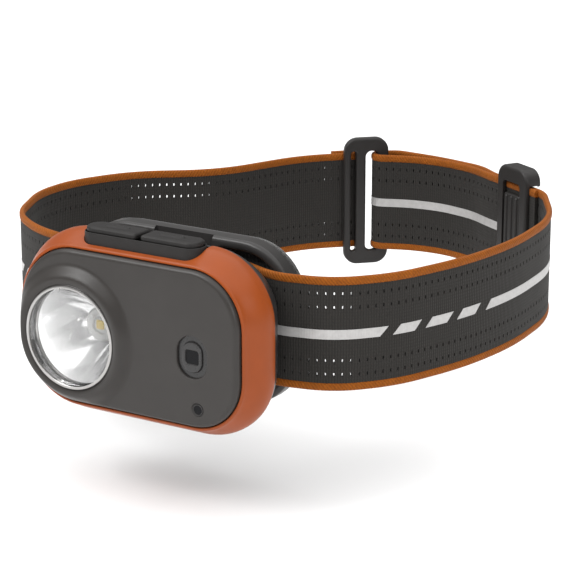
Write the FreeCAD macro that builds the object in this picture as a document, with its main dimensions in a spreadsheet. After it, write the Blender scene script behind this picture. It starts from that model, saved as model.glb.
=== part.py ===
"""Headlamp: a tilting lamp on a cradle, held by an adjustable elastic headband.

Millimetres. +X is the wearer's left, -Y is the way the beam points, +Z is up. The origin is on
the forehead pad's back face, level with the middle of the headband. The lamp's own frame has its origin on the lamp's middle
line, at the front edge of the orange band, and its y runs backwards towards the forehead.
"""
import FreeCAD, Part
import math
import os
import Sketcher
from FreeCAD import Placement, Rotation, Vector

doc = FreeCAD.newDocument("Headlamp")
sheet = doc.addObject("Spreadsheet::Sheet", "Sizes")

# Driving sizes: name, value, what it is.
DRIVING = [
    ("shell_width", 67.1, "front shell, outside"),
    ("shell_height", 40.8, "front shell, outside"),
    ("shell_corner_left", 16.6, "corner radius round the main lens"),
    ("shell_corner_right", 14.3, "corner radius at the other end"),
    ("shell_face_depth", 1.8, "how far the face stands in front of the band's edge"),
    ("shell_plate", 2.8, "thickness of the front shell's plate"),
    ("band_depth", 10.4, "housing band, front to back"),
    ("band_flare", 4.6, "how far the band swells past the front shell"),
    ("cover_depth", 11.0, "rear cover, front to back"),
    ("wall_inset", 3.0, "rear cover's cavity inside the front shell's outline"),
    ("lamp_drop", 1.25, "lamp's middle below the headband's middle"),
    ("lens_radius", 12.97, "clear opening of the main lens"),
    ("lens_drop", 2.3, "main lens below the lamp's middle"),
    ("collar_height", 1.8, "raised collar round the main lens"),
    ("reflector_depth", 11.6, "lens to the light source"),
    ("key_travel", 0.7, "stroke of each push key"),
    ("key_length", 35.2, "both keys together"),
    ("key_depth", 7.6, "keys, front to back"),
    ("hinge_pin_radius", 1.25, "steel tilt pin"),
    ("hinge_clearance", 0.05, "radial play of the tilt pin in the cradle"),
    ("hinge_barrel", 2.6, "outside radius of the hinge barrels"),
    ("hinge_gap", 3.2, "lamp's back to the cradle's front"),
    ("cradle_width", 67.8, "cradle, outside"),
    ("cradle_over", 6.85, "half of what the cradle is taller than the headband"),
    ("cradle_drop", 0.95, "cradle's middle below the headband's middle"),
    ("cradle_corner", 16.0, "corner radius of the cradle"),
    ("cradle_rim", 3.0, "width of the cradle's rim bars"),
    ("cradle_depth", 5.1, "cradle, front to back"),
    ("web_width", 21.2, "plate between the cradle's two strap windows"),
    ("pad_depth", 3.5, "forehead pad"),
    ("strap_width", 30.0, "elastic webbing"),
    ("strap_thick", 1.2, "elastic webbing"),
    ("buckle_end", 5.0, "end loop and slider past the headband's edge"),
    ("loop_thick", 2.2, "end loop plate"),
    ("slider_thick", 5.4, "slider, overall"),
    ("port_length", 15.0, "charging port pocket, along the lamp's height"),
    ("port_depth", 6.3, "charging port pocket, front to back"),
]
for row, (alias, value, note) in enumerate(DRIVING, start=1):
    sheet.set("A%d" % row, alias)
    sheet.set("B%d" % row, str(value))
    sheet.setAlias("B%d" % row, alias)
    sheet.set("C%d" % row, note)
doc.recompute()


class Size:
    """A number together with the expression on the sheet that gives it."""

    def __init__(self, value, text):
        self.value = float(value)
        self.text = text

    def _with(self, other, sign, swap=False):
        other = other if isinstance(other, Size) else Size(other, repr(float(other)))
        left, right = (other, self) if swap else (self, other)
        result = {"+": left.value + right.value, "-": left.value - right.value,
                  "*": left.value * right.value, "/": left.value / right.value if right.value else 0.0}
        return Size(result[sign], "(%s %s %s)" % (left.text, sign, right.text))

    def __add__(self, other):
        return self._with(other, "+")

    def __radd__(self, other):
        return self._with(other, "+", swap=True)

    def __sub__(self, other):
        return self._with(other, "-")

    def __rsub__(self, other):
        return self._with(other, "-", swap=True)

    def __mul__(self, other):
        return self._with(other, "*")

    def __rmul__(self, other):
        return self._with(other, "*", swap=True)

    def __truediv__(self, other):
        return self._with(other, "/")

    def __neg__(self):
        return Size(0.0, "0")._with(self, "-")


def number(value):
    """Any plain number as a Size."""
    return value if isinstance(value, Size) else Size(value, repr(float(value)))


class Sizes:
    """The sheet's cells, read by name."""

    def __init__(self):
        for alias, _value, _note in DRIVING:
            setattr(self, alias, Size(sheet.get(alias), "Sizes." + alias))


z = Sizes()

# ---------------------------------------------------------------- places worked out from the sizes
half_shell = z.shell_width / 2
half_tall = z.shell_height / 2
cover_back = z.band_depth + z.cover_depth            # lamp frame: the rear cover's back face
cradle_front = -(z.pad_depth + z.cradle_depth)
lamp_y = cradle_front - z.hinge_gap - cover_back      # row frame: the lamp frame's origin
lamp_z = -z.lamp_drop
face_y = 0.6 - z.shell_face_depth                     # lamp frame: the front shell's face
plate_back = face_y + z.shell_plate
ledge_front = plate_back + 0.8                        # the front seal fills this gap
LEDGE = 1.6
ledge_back = ledge_front + LEDGE
lens_x = z.shell_corner_left + 0.25 - half_shell      # the left end runs round the lens
lens_z = -z.lens_drop
rim_front = face_y - z.collar_height
rim_radius = z.lens_radius + 1.35                     # outside of the ring that holds the lens
lens_back = rim_front + 2.1
led_y = lens_back + z.reflector_depth                 # where the reflector ends
flood_x = half_shell - 13.4
flood_z = number(-1.65)
sensor_x = half_shell - 12.05
sensor_z = -(half_tall - 5.15)
SCREW_Z = 8.5
screw_x = half_shell - 6.05
cavity_offset = number(1.8)                           # the band's cavity past the shell's outline
key_x = number(1.35)
key_front = number(2.4)
key_y = key_front + z.key_depth / 2
band_top = half_tall + z.band_flare
key_base = band_top - 0.4                             # underside of the released keys
hinge_y = cradle_front - 0.2                          # row frame
hinge_z = -(z.strap_width / 2 + 0.5)
cradle_height = z.strap_width + 2 * z.cradle_over
buckle_height = z.strap_width + 2 * z.buckle_end
slot_height = z.strap_width + 1.6
web_front = cradle_front + 0.6
web_back = web_front + 1.8
strap_lane = web_back + 0.3 + z.strap_thick / 2       # middle of the strap behind the web
bar_x = z.cradle_width / 2 - z.cradle_rim / 2
lug_inner = z.web_width / 2 + 0.6
LUG_WIDE = 3.0
port_floor = -(half_shell - 1.2)                      # lamp frame: flat floor of the port pocket
port_y = z.band_depth + 1.2 + z.port_depth / 2        # its middle
CLEAR = 0.15                                          # general gap between pieces that part
LENS_THICK = 1.2
NECK = 4.3                                            # the reflector's opening round the emitter
KEY_HEIGHT = 1.7
KEY_DROP = 0.9                                        # key's underside to its seat, when released
LOOP_X, LOOP_Y, LOOP_TURN = -18.3, 116.7, 45          # the end loop's middle and its turn about Z
LOOP_WIDE = 14.0
HEM_BAR = -1.7                                        # loop frame: the bar inside the sewn hem
SLIDER_X, SLIDER_Y, SLIDER_TURN = 38.9, 107.1, -30
SLIDER_WIDE = 15.2


def move(obj, x=0, y=0, height=0, turn=0):
    """Give an object its place, with every number tied to the sheet."""
    x, y, height, turn = number(x), number(y), number(height), number(turn)
    obj.Placement = Placement(Vector(x.value, y.value, height.value), Rotation(Vector(0, 0, 1), turn.value))
    for axis, size in (("x", x), ("y", y), ("z", height)):
        obj.setExpression("Placement.Base." + axis, size.text)


def new_body(name, x=0, y=0, height=0, turn=0):
    body = doc.addObject("PartDesign::Body", name)
    body.Label = name
    move(body, x, y, height, turn)
    return body


def lamp_body(name, x=0, y=0, height=0):
    """A body whose sketches are in the lamp's own frame."""
    return new_body(name, number(x), lamp_y + y, lamp_z + height)


def new_sketch(body, plane, level, x=0, y=0):
    """A sketch on one of the body's origin planes, level millimetres along +Y or +Z."""
    sketch = body.newObject("Sketcher::SketchObject", body.Name + "_sketch")
    support = [item for item in body.Origin.OriginFeatures if item.Role == plane][0]
    sketch.AttachmentSupport = [(support, "")]
    sketch.MapMode = "FlatFace"
    level, x, y = number(level), number(x), number(y)
    along = -level if plane == "XZ_Plane" else level
    sketch.AttachmentOffset = Placement(Vector(x.value, y.value, along.value), Rotation())
    for axis, size in (("x", x), ("y", y), ("z", along)):
        sketch.setExpression("AttachmentOffset.Base." + axis, size.text)
    return sketch


def hold(sketch, size, kind, *where):
    """Add one dimension and tie it to the sheet."""
    index = sketch.addConstraint(Sketcher.Constraint(kind, *where, size.value))
    sketch.setExpression("Constraints[%d]" % index, size.text)


def add_rounded(sketch, wide, tall, left, right=None):
    """A rectangle about the sketch's origin with two corner radii, left and right."""
    wide, tall, left = number(wide), number(tall), number(left)
    right = left if right is None else number(right)
    w, h, rl, rr = wide.value / 2, tall.value / 2, left.value, right.value
    flat = Vector(0, 0, 1)
    quarter = math.pi / 2
    first = sketch.GeometryCount
    runs = [((-w + rl, -h), (w - rr, -h)), ((w, -h + rr), (w, h - rr)),
            ((w - rr, h), (-w + rl, h)), ((-w, h - rl), (-w, -h + rl))]
    corners = [(w - rr, -h + rr, rr), (w - rr, h - rr, rr), (-w + rl, h - rl, rl), (-w + rl, -h + rl, rl)]
    for step, ((start, end), (x, y, radius)) in enumerate(zip(runs, corners)):
        sketch.addGeometry(Part.LineSegment(Vector(*start, 0), Vector(*end, 0)))
        round_corner = Part.Circle(Vector(x, y, 0), flat, radius)
        sketch.addGeometry(Part.ArcOfCircle(round_corner, (step - 1) * quarter, step * quarter))
    for step in range(8):
        sketch.addConstraint(Sketcher.Constraint("Tangent", first + step, 2, first + (step + 1) % 8, 1))
    for step, kind in ((0, "Horizontal"), (2, "Vertical"), (4, "Horizontal"), (6, "Vertical")):
        sketch.addConstraint(Sketcher.Constraint(kind, first + step))
    hold(sketch, tall / 2, "DistanceY", first, 1, -1, 1)
    hold(sketch, wide / 2, "DistanceX", -1, 1, first + 2, 1)
    hold(sketch, tall / 2, "DistanceY", -1, 1, first + 4, 1)
    hold(sketch, wide / 2, "DistanceX", first + 6, 1, -1, 1)
    for step, size in ((1, right), (3, right), (5, left), (7, left)):
        hold(sketch, size, "Radius", first + step)


def add_circle(sketch, radius, x=0, y=0):
    radius, x, y = number(radius), number(x), number(y)
    index = sketch.addGeometry(Part.Circle(Vector(x.value, y.value, 0), Vector(0, 0, 1), radius.value))
    hold(sketch, x, "DistanceX", -1, 1, index, 3)
    hold(sketch, y, "DistanceY", -1, 1, index, 3)
    hold(sketch, radius, "Radius", index)


def add_polygon(sketch, corners):
    """A closed outline of straight edges, each corner tied to the sheet."""
    corners = [(number(a), number(b)) for a, b in corners]
    points = [Vector(a.value, b.value, 0) for a, b in corners]
    first = sketch.GeometryCount
    for step, point in enumerate(points):
        sketch.addGeometry(Part.LineSegment(point, points[(step + 1) % len(points)]))
    for step, (a, b) in enumerate(corners):
        before = first + (step - 1) % len(points)
        sketch.addConstraint(Sketcher.Constraint("Coincident", before, 2, first + step, 1))
        hold(sketch, a, "DistanceX", -1, 1, first + step, 1)
        hold(sketch, b, "DistanceY", -1, 1, first + step, 1)


def extrude(body, sketch, length, cut=False):
    """Pad or pocket along +Y (sketches on XZ) or +Z (sketches on XY)."""
    kind = "PartDesign::Pocket" if cut else "PartDesign::Pad"
    feature = body.newObject(kind, body.Name + ("_pocket" if cut else "_pad"))
    feature.Profile = sketch
    feature.setExpression("Length", number(length).text)
    on_xz = sketch.AttachmentSupport[0][0].Role == "XZ_Plane"     # such a sketch faces -Y
    feature.Reversed = on_xz != cut
    sketch.Visibility = False
    return feature


def slab(body, level, depth, shape, cut=False, x=0, y=0):
    """One sketch, drawn by shape(sketch), taken depth millimetres back from level."""
    sketch = new_sketch(body, "XZ_Plane", level, x, y)
    shape(sketch)
    return extrude(body, sketch, depth, cut)


def loft(body, levels):
    """A solid through rounded outlines: (level, offset from the front shell's outline)."""
    sketches = []
    for level, offset in levels:
        sketch = new_sketch(body, "XZ_Plane", level)
        shell_outline(sketch, offset)
        sketches.append(sketch)
    feature = body.newObject("PartDesign::AdditiveLoft", body.Name + "_loft")
    feature.Profile = sketches[0]
    feature.Sections = sketches[1:]
    feature.Ruled = True
    return feature


def turned(body, corners, x=0, y=0):
    """A ring or disc turned about an axis along Y: corners are (radius, y)."""
    sketch = new_sketch(body, "XY_Plane", y, x, 0)
    add_polygon(sketch, corners)
    feature = body.newObject("PartDesign::Revolution", body.Name + "_turned")
    feature.Profile = sketch
    feature.ReferenceAxis = (sketch, ["V_Axis"])
    feature.Angle = 360
    return feature


def shell_outline(sketch, offset):
    """The front shell's outline, moved outwards by offset."""
    offset = number(offset)
    add_rounded(sketch, z.shell_width + 2 * offset, z.shell_height + 2 * offset,
                z.shell_corner_left + offset, z.shell_corner_right + offset)


def ring_outline(sketch, outside, inside):
    shell_outline(sketch, outside)
    shell_outline(sketch, inside)


def round_edges(body, feature, radius, test):
    """Fillet the edges of the last feature that pass the test."""
    doc.recompute()
    names = ["Edge%d" % n for n, edge in enumerate(feature.Shape.Edges, start=1) if test(edge)]
    fillet = body.newObject("PartDesign::Fillet", body.Name + "_fillet")
    fillet.Base = (feature, names)
    fillet.setExpression("Radius", number(radius).text)
    doc.recompute()
    return fillet


def in_plane(level):
    """Edges that lie wholly at one y of the body's own frame."""
    value = number(level).value
    return lambda edge: abs(edge.BoundBox.YMin - value) < 1e-4 and abs(edge.BoundBox.YMax - value) < 1e-4


# ------------------------------------------------------------------------------ the lamp's casing
def make_front_shell():
    """A plate with a rounded front edge, a cone-shaped lens collar, and recesses for the small optics."""
    body = lamp_body("front_shell")
    plate = slab(body, face_y, z.shell_plate, lambda s: shell_outline(s, 0))
    round_edges(body, plate, 1.6, in_plane(face_y))
    slab(body, plate_back, 2.2, lambda s: ring_outline(s, -3.2, -4.8))
    collar_foot = rim_radius + 1.9
    turned(body, [(rim_radius - 0.6, face_y + 1.0), (collar_foot, face_y + 1.0), (collar_foot, face_y),
                  (rim_radius + 0.5, rim_front), (rim_radius - 0.6, rim_front)], lens_x, lens_z)
    slab(body, rim_front, z.shell_plate + z.collar_height + 0.5,
         lambda s: add_circle(s, rim_radius), cut=True, x=lens_x, y=lens_z)
    slab(body, face_y, 1.5, lambda s: add_rounded(s, 8.9, 11.0, 4.4), cut=True, x=flood_x, y=flood_z)
    slab(body, face_y, z.shell_plate + 0.1, lambda s: add_rounded(s, 5.0, 6.4, 2.4), cut=True,
         x=flood_x, y=flood_z)
    slab(body, face_y, z.shell_plate + 0.1, lambda s: add_circle(s, 1.4), cut=True, x=sensor_x, y=sensor_z)


def make_housing_band():
    """The orange band: flared outside, with a ledge for the shell, screw bosses and the key opening."""
    body = lamp_body("housing_band")
    loft(body, [(0.6, 0.5), (1.5, 1.7), (4.2, 3.3), (8.0, z.band_flare),
                (z.band_depth, z.band_flare - 0.2)])
    slab(body, 0.6, ledge_front - 0.6, lambda s: shell_outline(s, CLEAR), cut=True)
    slab(body, ledge_front, LEDGE + 0.1, lambda s: shell_outline(s, -3.0), cut=True)
    slab(body, ledge_back, z.band_depth - ledge_back, lambda s: shell_outline(s, cavity_offset), cut=True)
    for side in (-1, 1):
        slab(body, ledge_back, z.band_depth - ledge_back, lambda s: add_circle(s, 3.6),
             x=screw_x, y=side * SCREW_Z)
        slab(body, ledge_back + 1.0, z.band_depth, lambda s: add_circle(s, 0.9), cut=True,
             x=screw_x, y=side * SCREW_Z)
    opening = new_sketch(body, "XY_Plane", half_tall + 1.0, key_x, z.band_depth)
    add_rounded(opening, z.key_length + 0.7, 2 * (z.band_depth - key_front) + 0.7, z.key_depth * 0.49)
    extrude(body, opening, 8.0, cut=True)


def make_rear_cover():
    """The dark back tray, with a locating rib, screw holes, hinge lugs and the port pocket."""
    body = lamp_body("rear_cover")
    start = z.band_depth
    loft(body, [(start, z.band_flare - 0.5), (start + 3.6, 2.2), (start + 7.6, -0.4),
                (start + 9.8, -1.8), (cover_back, -3.6)])
    slab(body, start - 1.8, 1.9, lambda s: ring_outline(s, 1.6, 0.4))
    slab(body, start, z.cover_depth - 2.0, lambda s: shell_outline(s, -z.wall_inset), cut=True)
    slab(body, start, 1.0, lambda s: ring_outline(s, 3.4, 2.6), cut=True)
    for side in (-1, 1):
        slab(body, start, z.cover_depth - 2.0, lambda s: add_circle(s, 2.6),
             x=screw_x, y=side * SCREW_Z)
        slab(body, start - 1.8, z.cover_depth + 2.0, lambda s: add_circle(s, 1.3), cut=True,
             x=screw_x, y=side * SCREW_Z)
        slab(body, cover_back - 2.5, 2.6, lambda s: add_circle(s, 2.3), cut=True,
             x=screw_x, y=side * SCREW_Z)
    notch = new_sketch(body, "XY_Plane", half_tall + 0.8, key_x, start - 1.0)
    add_rounded(notch, z.key_length + 1.4, 2.0, 0.1)
    extrude(body, notch, 1.0, cut=True)
    axis_y = hinge_y - lamp_y
    axis_z = hinge_z - lamp_z
    for side in (-1, 1):
        lug_x = lug_inner + LUG_WIDE / 2
        add_lug(body, side * lug_x, axis_y, axis_z)
    slab_port(body)


def add_lug(body, middle, axis_y, axis_z):
    """A hinge ear: a round barrel on an arm that grows out of the cover's back."""
    level = middle - LUG_WIDE / 2
    for shape, cut in ((lambda s: add_circle(s, z.hinge_barrel, axis_z, axis_y), False),
                       (lambda s: add_polygon(s, [(axis_z - z.hinge_barrel, cover_back - 1.5),
                                                  (axis_z + z.hinge_barrel, cover_back - 1.5),
                                                  (axis_z + z.hinge_barrel, axis_y),
                                                  (axis_z - z.hinge_barrel, axis_y)]), False),
                       (lambda s: add_circle(s, z.hinge_pin_radius, axis_z, axis_y), True)):
        sketch = side_sketch(body, level)
        shape(sketch)
        kind = "PartDesign::Pocket" if cut else "PartDesign::Pad"
        feature = body.newObject(kind, body.Name + "_lug")
        feature.Profile = sketch
        feature.Length = LUG_WIDE
        feature.Reversed = not cut


def side_sketch(body, level):
    """A sketch across X whose own x runs along the body's Z and whose y runs along its Y."""
    sketch = body.newObject("Sketcher::SketchObject", body.Name + "_side")
    support = [item for item in body.Origin.OriginFeatures if item.Role == "YZ_Plane"][0]
    sketch.AttachmentSupport = [(support, "")]
    sketch.MapMode = "FlatFace"
    level = number(level)
    swap = Rotation(Vector(1, 1, 0), 180)
    sketch.AttachmentOffset = Placement(Vector(0, 0, level.value), swap)
    sketch.setExpression("AttachmentOffset.Base.z", level.text)
    return sketch


def slab_port(body):
    """A pocket in the cover's right-hand end wall, and the socket's mouth in its floor."""
    far = 12.0
    pocket = new_sketch(body, "XY_Plane", -(z.port_length / 2), port_floor - far / 2, port_y)
    add_rounded(pocket, far, z.port_depth, 0.1)
    extrude(body, pocket, z.port_length, cut=True)
    mouth = new_sketch(body, "XY_Plane", -4.6, port_floor, port_y)
    add_rounded(mouth, 12.0, 3.5, 0.4)
    extrude(body, mouth, 9.2, cut=True)


# --------------------------------------------------------------------------------- the main light
def make_lens_rim():
    """The satin ring that holds the lens and the reflector's flange in the collar."""
    body = lamp_body("lens_rim")
    outside = rim_radius - 0.05
    seat = z.lens_radius + 0.55
    lens_front = lens_back - LENS_THICK
    turned(body, [(z.lens_radius, rim_front), (outside, rim_front), (outside, lens_back + 1.2),
                  (seat, lens_back + 1.2), (seat, lens_front), (z.lens_radius, lens_front)], lens_x, lens_z)


def make_main_lens():
    body = lamp_body("main_lens")
    slab(body, lens_back - LENS_THICK, LENS_THICK, lambda s: add_circle(s, z.lens_radius + 0.5),
         x=lens_x, y=lens_z)


def make_reflector():
    """A parabola turned about the lens axis: radius squared falls in step with the depth."""
    wall = 0.9
    mouth = (z.lens_radius - 0.35).value
    depth = z.reflector_depth.value
    steps = 12
    levels = [depth * n / steps for n in range(steps + 1)]
    inner = [math.sqrt(mouth ** 2 + (NECK ** 2 - mouth ** 2) * level / depth) for level in levels]
    inside = Part.BSplineCurve()
    inside.interpolate([Vector(r, y, 0) for r, y in zip(inner, levels)])
    outside = Part.BSplineCurve()
    outside.interpolate([Vector(r + wall, y, 0) for r, y in zip(inner[1:], levels[1:])])
    flange = (z.lens_radius + 0.5).value
    corner = [Vector(inner[1] + wall, levels[1], 0), Vector(flange, levels[1], 0), Vector(flange, 0, 0),
              Vector(mouth, 0, 0)]
    lip = Part.LineSegment(Vector(NECK, depth, 0), Vector(NECK + wall, depth, 0))
    edges = [inside.toShape(), lip.toShape(), outside.toShape()]
    for here, after in zip(corner, corner[1:]):
        edges.append(Part.LineSegment(here, after).toShape())
    face = Part.Face(Part.Wire(Part.__sortEdges__(edges)))
    shape_piece("reflector", face.revolve(Vector(0, 0, 0), Vector(0, 1, 0), 360),
                lens_x, lamp_y + lens_back, lamp_z + lens_z)


def make_light_source():
    """Centring ring, emitter and its round aluminium board, behind the reflector's neck."""
    ring = lamp_body("led_centring_ring")
    slab(ring, led_y - 0.4, 1.0, lambda s: (add_circle(s, NECK - 0.1), add_circle(s, 2.6)),
         x=lens_x, y=lens_z)
    emitter = lamp_body("main_led")
    slab(emitter, led_y, 0.7, lambda s: add_rounded(s, 3.45, 3.45, 0.3), x=lens_x, y=lens_z)
    board = lamp_body("led_board")
    slab(board, led_y + 0.7, 1.2, lambda s: add_circle(s, 6.0), x=lens_x, y=lens_z)


# -------------------------------------------------------------------------------- the small optics
def make_flood_light():
    bezel = lamp_body("flood_bezel")
    slab(bezel, face_y + 0.8, 0.7, lambda s: add_rounded(s, 8.7, 10.8, 4.3), x=flood_x, y=flood_z)
    slab(bezel, face_y + 0.1, 0.8, lambda s: add_rounded(s, 6.0, 8.0, 2.9), x=flood_x, y=flood_z)
    slab(bezel, face_y + 1.5, z.shell_plate - 1.5, lambda s: add_rounded(s, 4.8, 6.2, 2.3),
         x=flood_x, y=flood_z)
    slab(bezel, face_y, z.shell_plate + 0.1, lambda s: add_rounded(s, 3.9, 3.6, 0.6), cut=True,
         x=flood_x, y=flood_z)
    window = lamp_body("flood_window")
    slab(window, face_y + 0.5, 0.7, lambda s: add_rounded(s, 3.8, 3.5, 0.55), x=flood_x, y=flood_z)
    led = lamp_body("flood_led")
    slab(led, ledge_back - 0.3, 0.7, lambda s: add_rounded(s, 2.8, 2.8, 0.2), x=flood_x, y=flood_z)
    board = lamp_body("optics_board")
    slab(board, ledge_back + 0.4, 1.0, lambda s: add_rounded(s, 8.0, 22.0, 1.0),
         x=flood_x - 1.0, y=-7.0)


def make_light_sensor():
    window = lamp_body("sensor_window")
    slab(window, face_y + 0.6, 0.8, lambda s: add_circle(s, 1.35), x=sensor_x, y=sensor_z)
    chip = lamp_body("light_sensor")
    slab(chip, ledge_back - 0.1, 0.5, lambda s: add_rounded(s, 2.0, 2.0, 0.2), x=sensor_x, y=sensor_z)


# ------------------------------------------------------------------------------------ seals, keys
def make_seals():
    front = lamp_body("front_seal")
    slab(front, plate_back, ledge_front - plate_back, lambda s: ring_outline(s, -0.4, -2.6))
    rear = lamp_body("rear_seal")
    slab(rear, z.band_depth, 0.95, lambda s: ring_outline(s, 3.35, 2.65))


def make_keys():
    """A seat in the band's top opening, with two push keys that drop on their switches."""
    seat = lamp_body("key_seat")
    sketch = new_sketch(seat, "XY_Plane", half_tall + 1.0, key_x, key_y)
    add_rounded(sketch, z.key_length + 0.4, z.key_depth + 0.4, z.key_depth * 0.49)
    extrude(seat, sketch, key_base - KEY_DROP - (half_tall + 1.0))
    each = z.key_length / 2 - 0.3
    switch_top = number(17.0)
    for name, side in (("left", -1), ("right", 1)):
        middle = key_x + side * (each / 2 + 0.3)
        hole = new_sketch(seat, "XY_Plane", half_tall, middle, key_y)
        add_circle(hole, 1.65)
        extrude(seat, hole, 5.0, cut=True)
        key = lamp_body(name + "_key")
        cap = new_sketch(key, "XY_Plane", key_base, middle, key_y)
        round_end, straight_end = z.key_depth * 0.49, 0.8
        if side < 0:
            add_rounded(cap, each, z.key_depth, round_end, straight_end)
        else:
            add_rounded(cap, each, z.key_depth, straight_end, round_end)
        top = extrude(key, cap, KEY_HEIGHT)
        level = (key_base + KEY_HEIGHT).value
        round_edges(key, top, 0.7, lambda edge: abs(edge.BoundBox.ZMin - level) < 1e-4)
        stem_foot = switch_top + 0.6 + z.key_travel + 0.1
        stem = new_sketch(key, "XY_Plane", stem_foot, middle, key_y)
        add_circle(stem, 1.3)
        extrude(key, stem, key_base + 0.3 - stem_foot)
        switch = lamp_body(name + "_switch")
        box = new_sketch(switch, "XY_Plane", switch_top - 3.5, middle, key_y)
        add_rounded(box, 6.0, 3.5, 0.3)
        extrude(switch, box, 3.5)
        button = new_sketch(switch, "XY_Plane", switch_top, middle, key_y)
        add_circle(button, 0.9)
        extrude(switch, button, 0.6)


# -------------------------------------------------------------------------- electronics and power
def make_electronics():
    board = lamp_body("control_board")
    level = key_y + 1.75
    slab(board, level, 1.2, lambda s: add_rounded(s, 46.0, 33.0, 2.0), x=lens_x + 13.2)
    slab(board, level, 1.3, lambda s: add_circle(s, 8.6), cut=True, x=lens_x, y=lens_z)
    battery = lamp_body("battery_pack")
    front = led_y + 2.2
    slab(battery, front, z.band_depth + z.cover_depth - 2.0 - front - 0.3,
         lambda s: add_rounded(s, z.shell_width - 24.1, z.shell_height - 9.8, 3.0), x=1.0)
    charging = lamp_body("charging_board")
    slab(charging, port_y + 1.6, 0.8, lambda s: add_rounded(s, 9.0, 12.0, 0.5), x=port_floor + 6.8)


def make_port():
    """The charging socket, and the rubber cover that fills its pocket and swings out on a hinge."""
    socket = lamp_body("usb_socket")
    depth = 7.3
    slab(socket, port_y - 1.6, 3.2, lambda s: add_rounded(s, depth, 8.9, 0.3),
         x=port_floor + 0.3 + depth / 2)
    slab(socket, port_y - 1.25, 2.5, lambda s: add_rounded(s, depth, 8.2, 0.2), cut=True,
         x=port_floor - 0.5 + depth / 2)
    slab(socket, port_y - 0.35, 0.7, lambda s: add_rounded(s, 5.0, 6.7, 0.3),
         x=port_floor + depth - 2.4)
    flap = lamp_body("port_cover")
    front = port_y - z.port_depth / 2 + CLEAR
    rear = port_y + z.port_depth / 2 - CLEAR
    floor = port_floor - 0.05
    outline = new_sketch(flap, "XY_Plane", -(z.port_length / 2 - CLEAR))
    add_polygon(outline, [(floor, front), (floor, rear), (-(half_shell - 0.25), rear),
                          (-(half_shell + 2.2), z.band_depth + 3.6), (-(half_shell + 3.35), front)])
    extrude(flap, outline, z.port_length - 2 * CLEAR)
    plug = new_sketch(flap, "XY_Plane", -3.9, floor + 0.4, port_y)
    add_rounded(plug, 1.0, 1.8, 0.3)
    extrude(flap, plug, 7.8)


def shape_piece(name, shape, x=0, y=0, height=0):
    """A piece whose shape comes straight from Part's own functions."""
    piece = doc.addObject("Part::Feature", name)
    piece.Label = name
    piece.Shape = shape
    move(piece, x, y, height)
    return piece


def make_cover_screws():
    """Two pan-head screws, driven forwards through the rear cover into the band's bosses."""
    back = (cover_back - 2.5).value
    solids = []
    for side in (-1, 1):
        foot = Vector(screw_x.value, (ledge_back + 2.0).value, side * SCREW_Z)
        shank = Part.makeCylinder(0.9, back - foot.y + 0.2, foot, Vector(0, 1, 0))
        head = Part.makeCylinder(2.1, 1.6, Vector(foot.x, back, foot.z), Vector(0, 1, 0))
        solids.append(shank.fuse(head).removeSplitter())
    shape_piece("cover_screws", Part.makeCompound(solids), 0, lamp_y, lamp_z)


# ------------------------------------------------------------------------------- cradle and hinge
def make_tilt_pin():
    pin = doc.addObject("Part::Cylinder", "tilt_pin")
    pin.Label = "tilt_pin"
    length = 2 * (lug_inner + LUG_WIDE)
    pin.setExpression("Radius", z.hinge_pin_radius.text)
    pin.setExpression("Height", length.text)
    pin.Placement = Placement(Vector(-length.value / 2, hinge_y.value, hinge_z.value),
                              Rotation(Vector(0, 1, 0), 90))
    for axis, size in (("x", -length / 2), ("y", hinge_y), ("z", hinge_z)):
        pin.setExpression("Placement.Base." + axis, size.text)


def make_cradle():
    """A rounded frame with two tall strap windows, a set-back web between them and a hinge barrel."""
    body = new_body("cradle_frame")
    plate = slab(body, cradle_front, z.cradle_depth,
                 lambda s: add_rounded(s, z.cradle_width, cradle_height, z.cradle_corner), y=-z.cradle_drop)
    round_edges(body, plate, 1.2, in_plane(cradle_front))
    inner = z.cradle_width / 2 - z.cradle_rim
    window = inner - z.web_width / 2
    middle = z.web_width / 2 + window / 2
    tall = cradle_height - 2 * z.cradle_rim
    far, near = z.cradle_corner - z.cradle_rim, number(2.0)
    deep = z.cradle_depth + 0.2
    for side, left, right in ((1, near, far), (-1, far, near)):
        slab(body, cradle_front - 0.1, deep, lambda s: add_rounded(s, window, tall, left, right),
             cut=True, x=side * middle, y=-z.cradle_drop)
    lane_tall = z.strap_width + 3.0
    slab(body, cradle_front - 0.1, web_front - cradle_front + 0.1,
         lambda s: add_rounded(s, z.web_width + 1.0, lane_tall, 1.0), cut=True)
    slab(body, web_back, -z.pad_depth - web_back + 0.1,
         lambda s: add_rounded(s, z.web_width + 1.0, lane_tall, 1.0), cut=True)
    for radius, cut in ((z.hinge_barrel, False), (z.hinge_pin_radius + z.hinge_clearance, True)):
        sketch = side_sketch(body, -(z.web_width / 2))
        add_circle(sketch, radius, hinge_z, hinge_y)
        kind = "PartDesign::Pocket" if cut else "PartDesign::Pad"
        feature = body.newObject(kind, body.Name + "_barrel")
        feature.Profile = sketch
        feature.setExpression("Length", z.web_width.text)
        feature.Reversed = not cut


def make_forehead_pad():
    body = new_body("forehead_pad")
    pad = slab(body, -z.pad_depth, z.pad_depth,
               lambda s: add_rounded(s, z.cradle_width - 1.0, cradle_height - 1.0, z.cradle_corner - 0.5),
               y=-z.cradle_drop)
    round_edges(body, pad, 0.8, in_plane(0.0))


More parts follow.
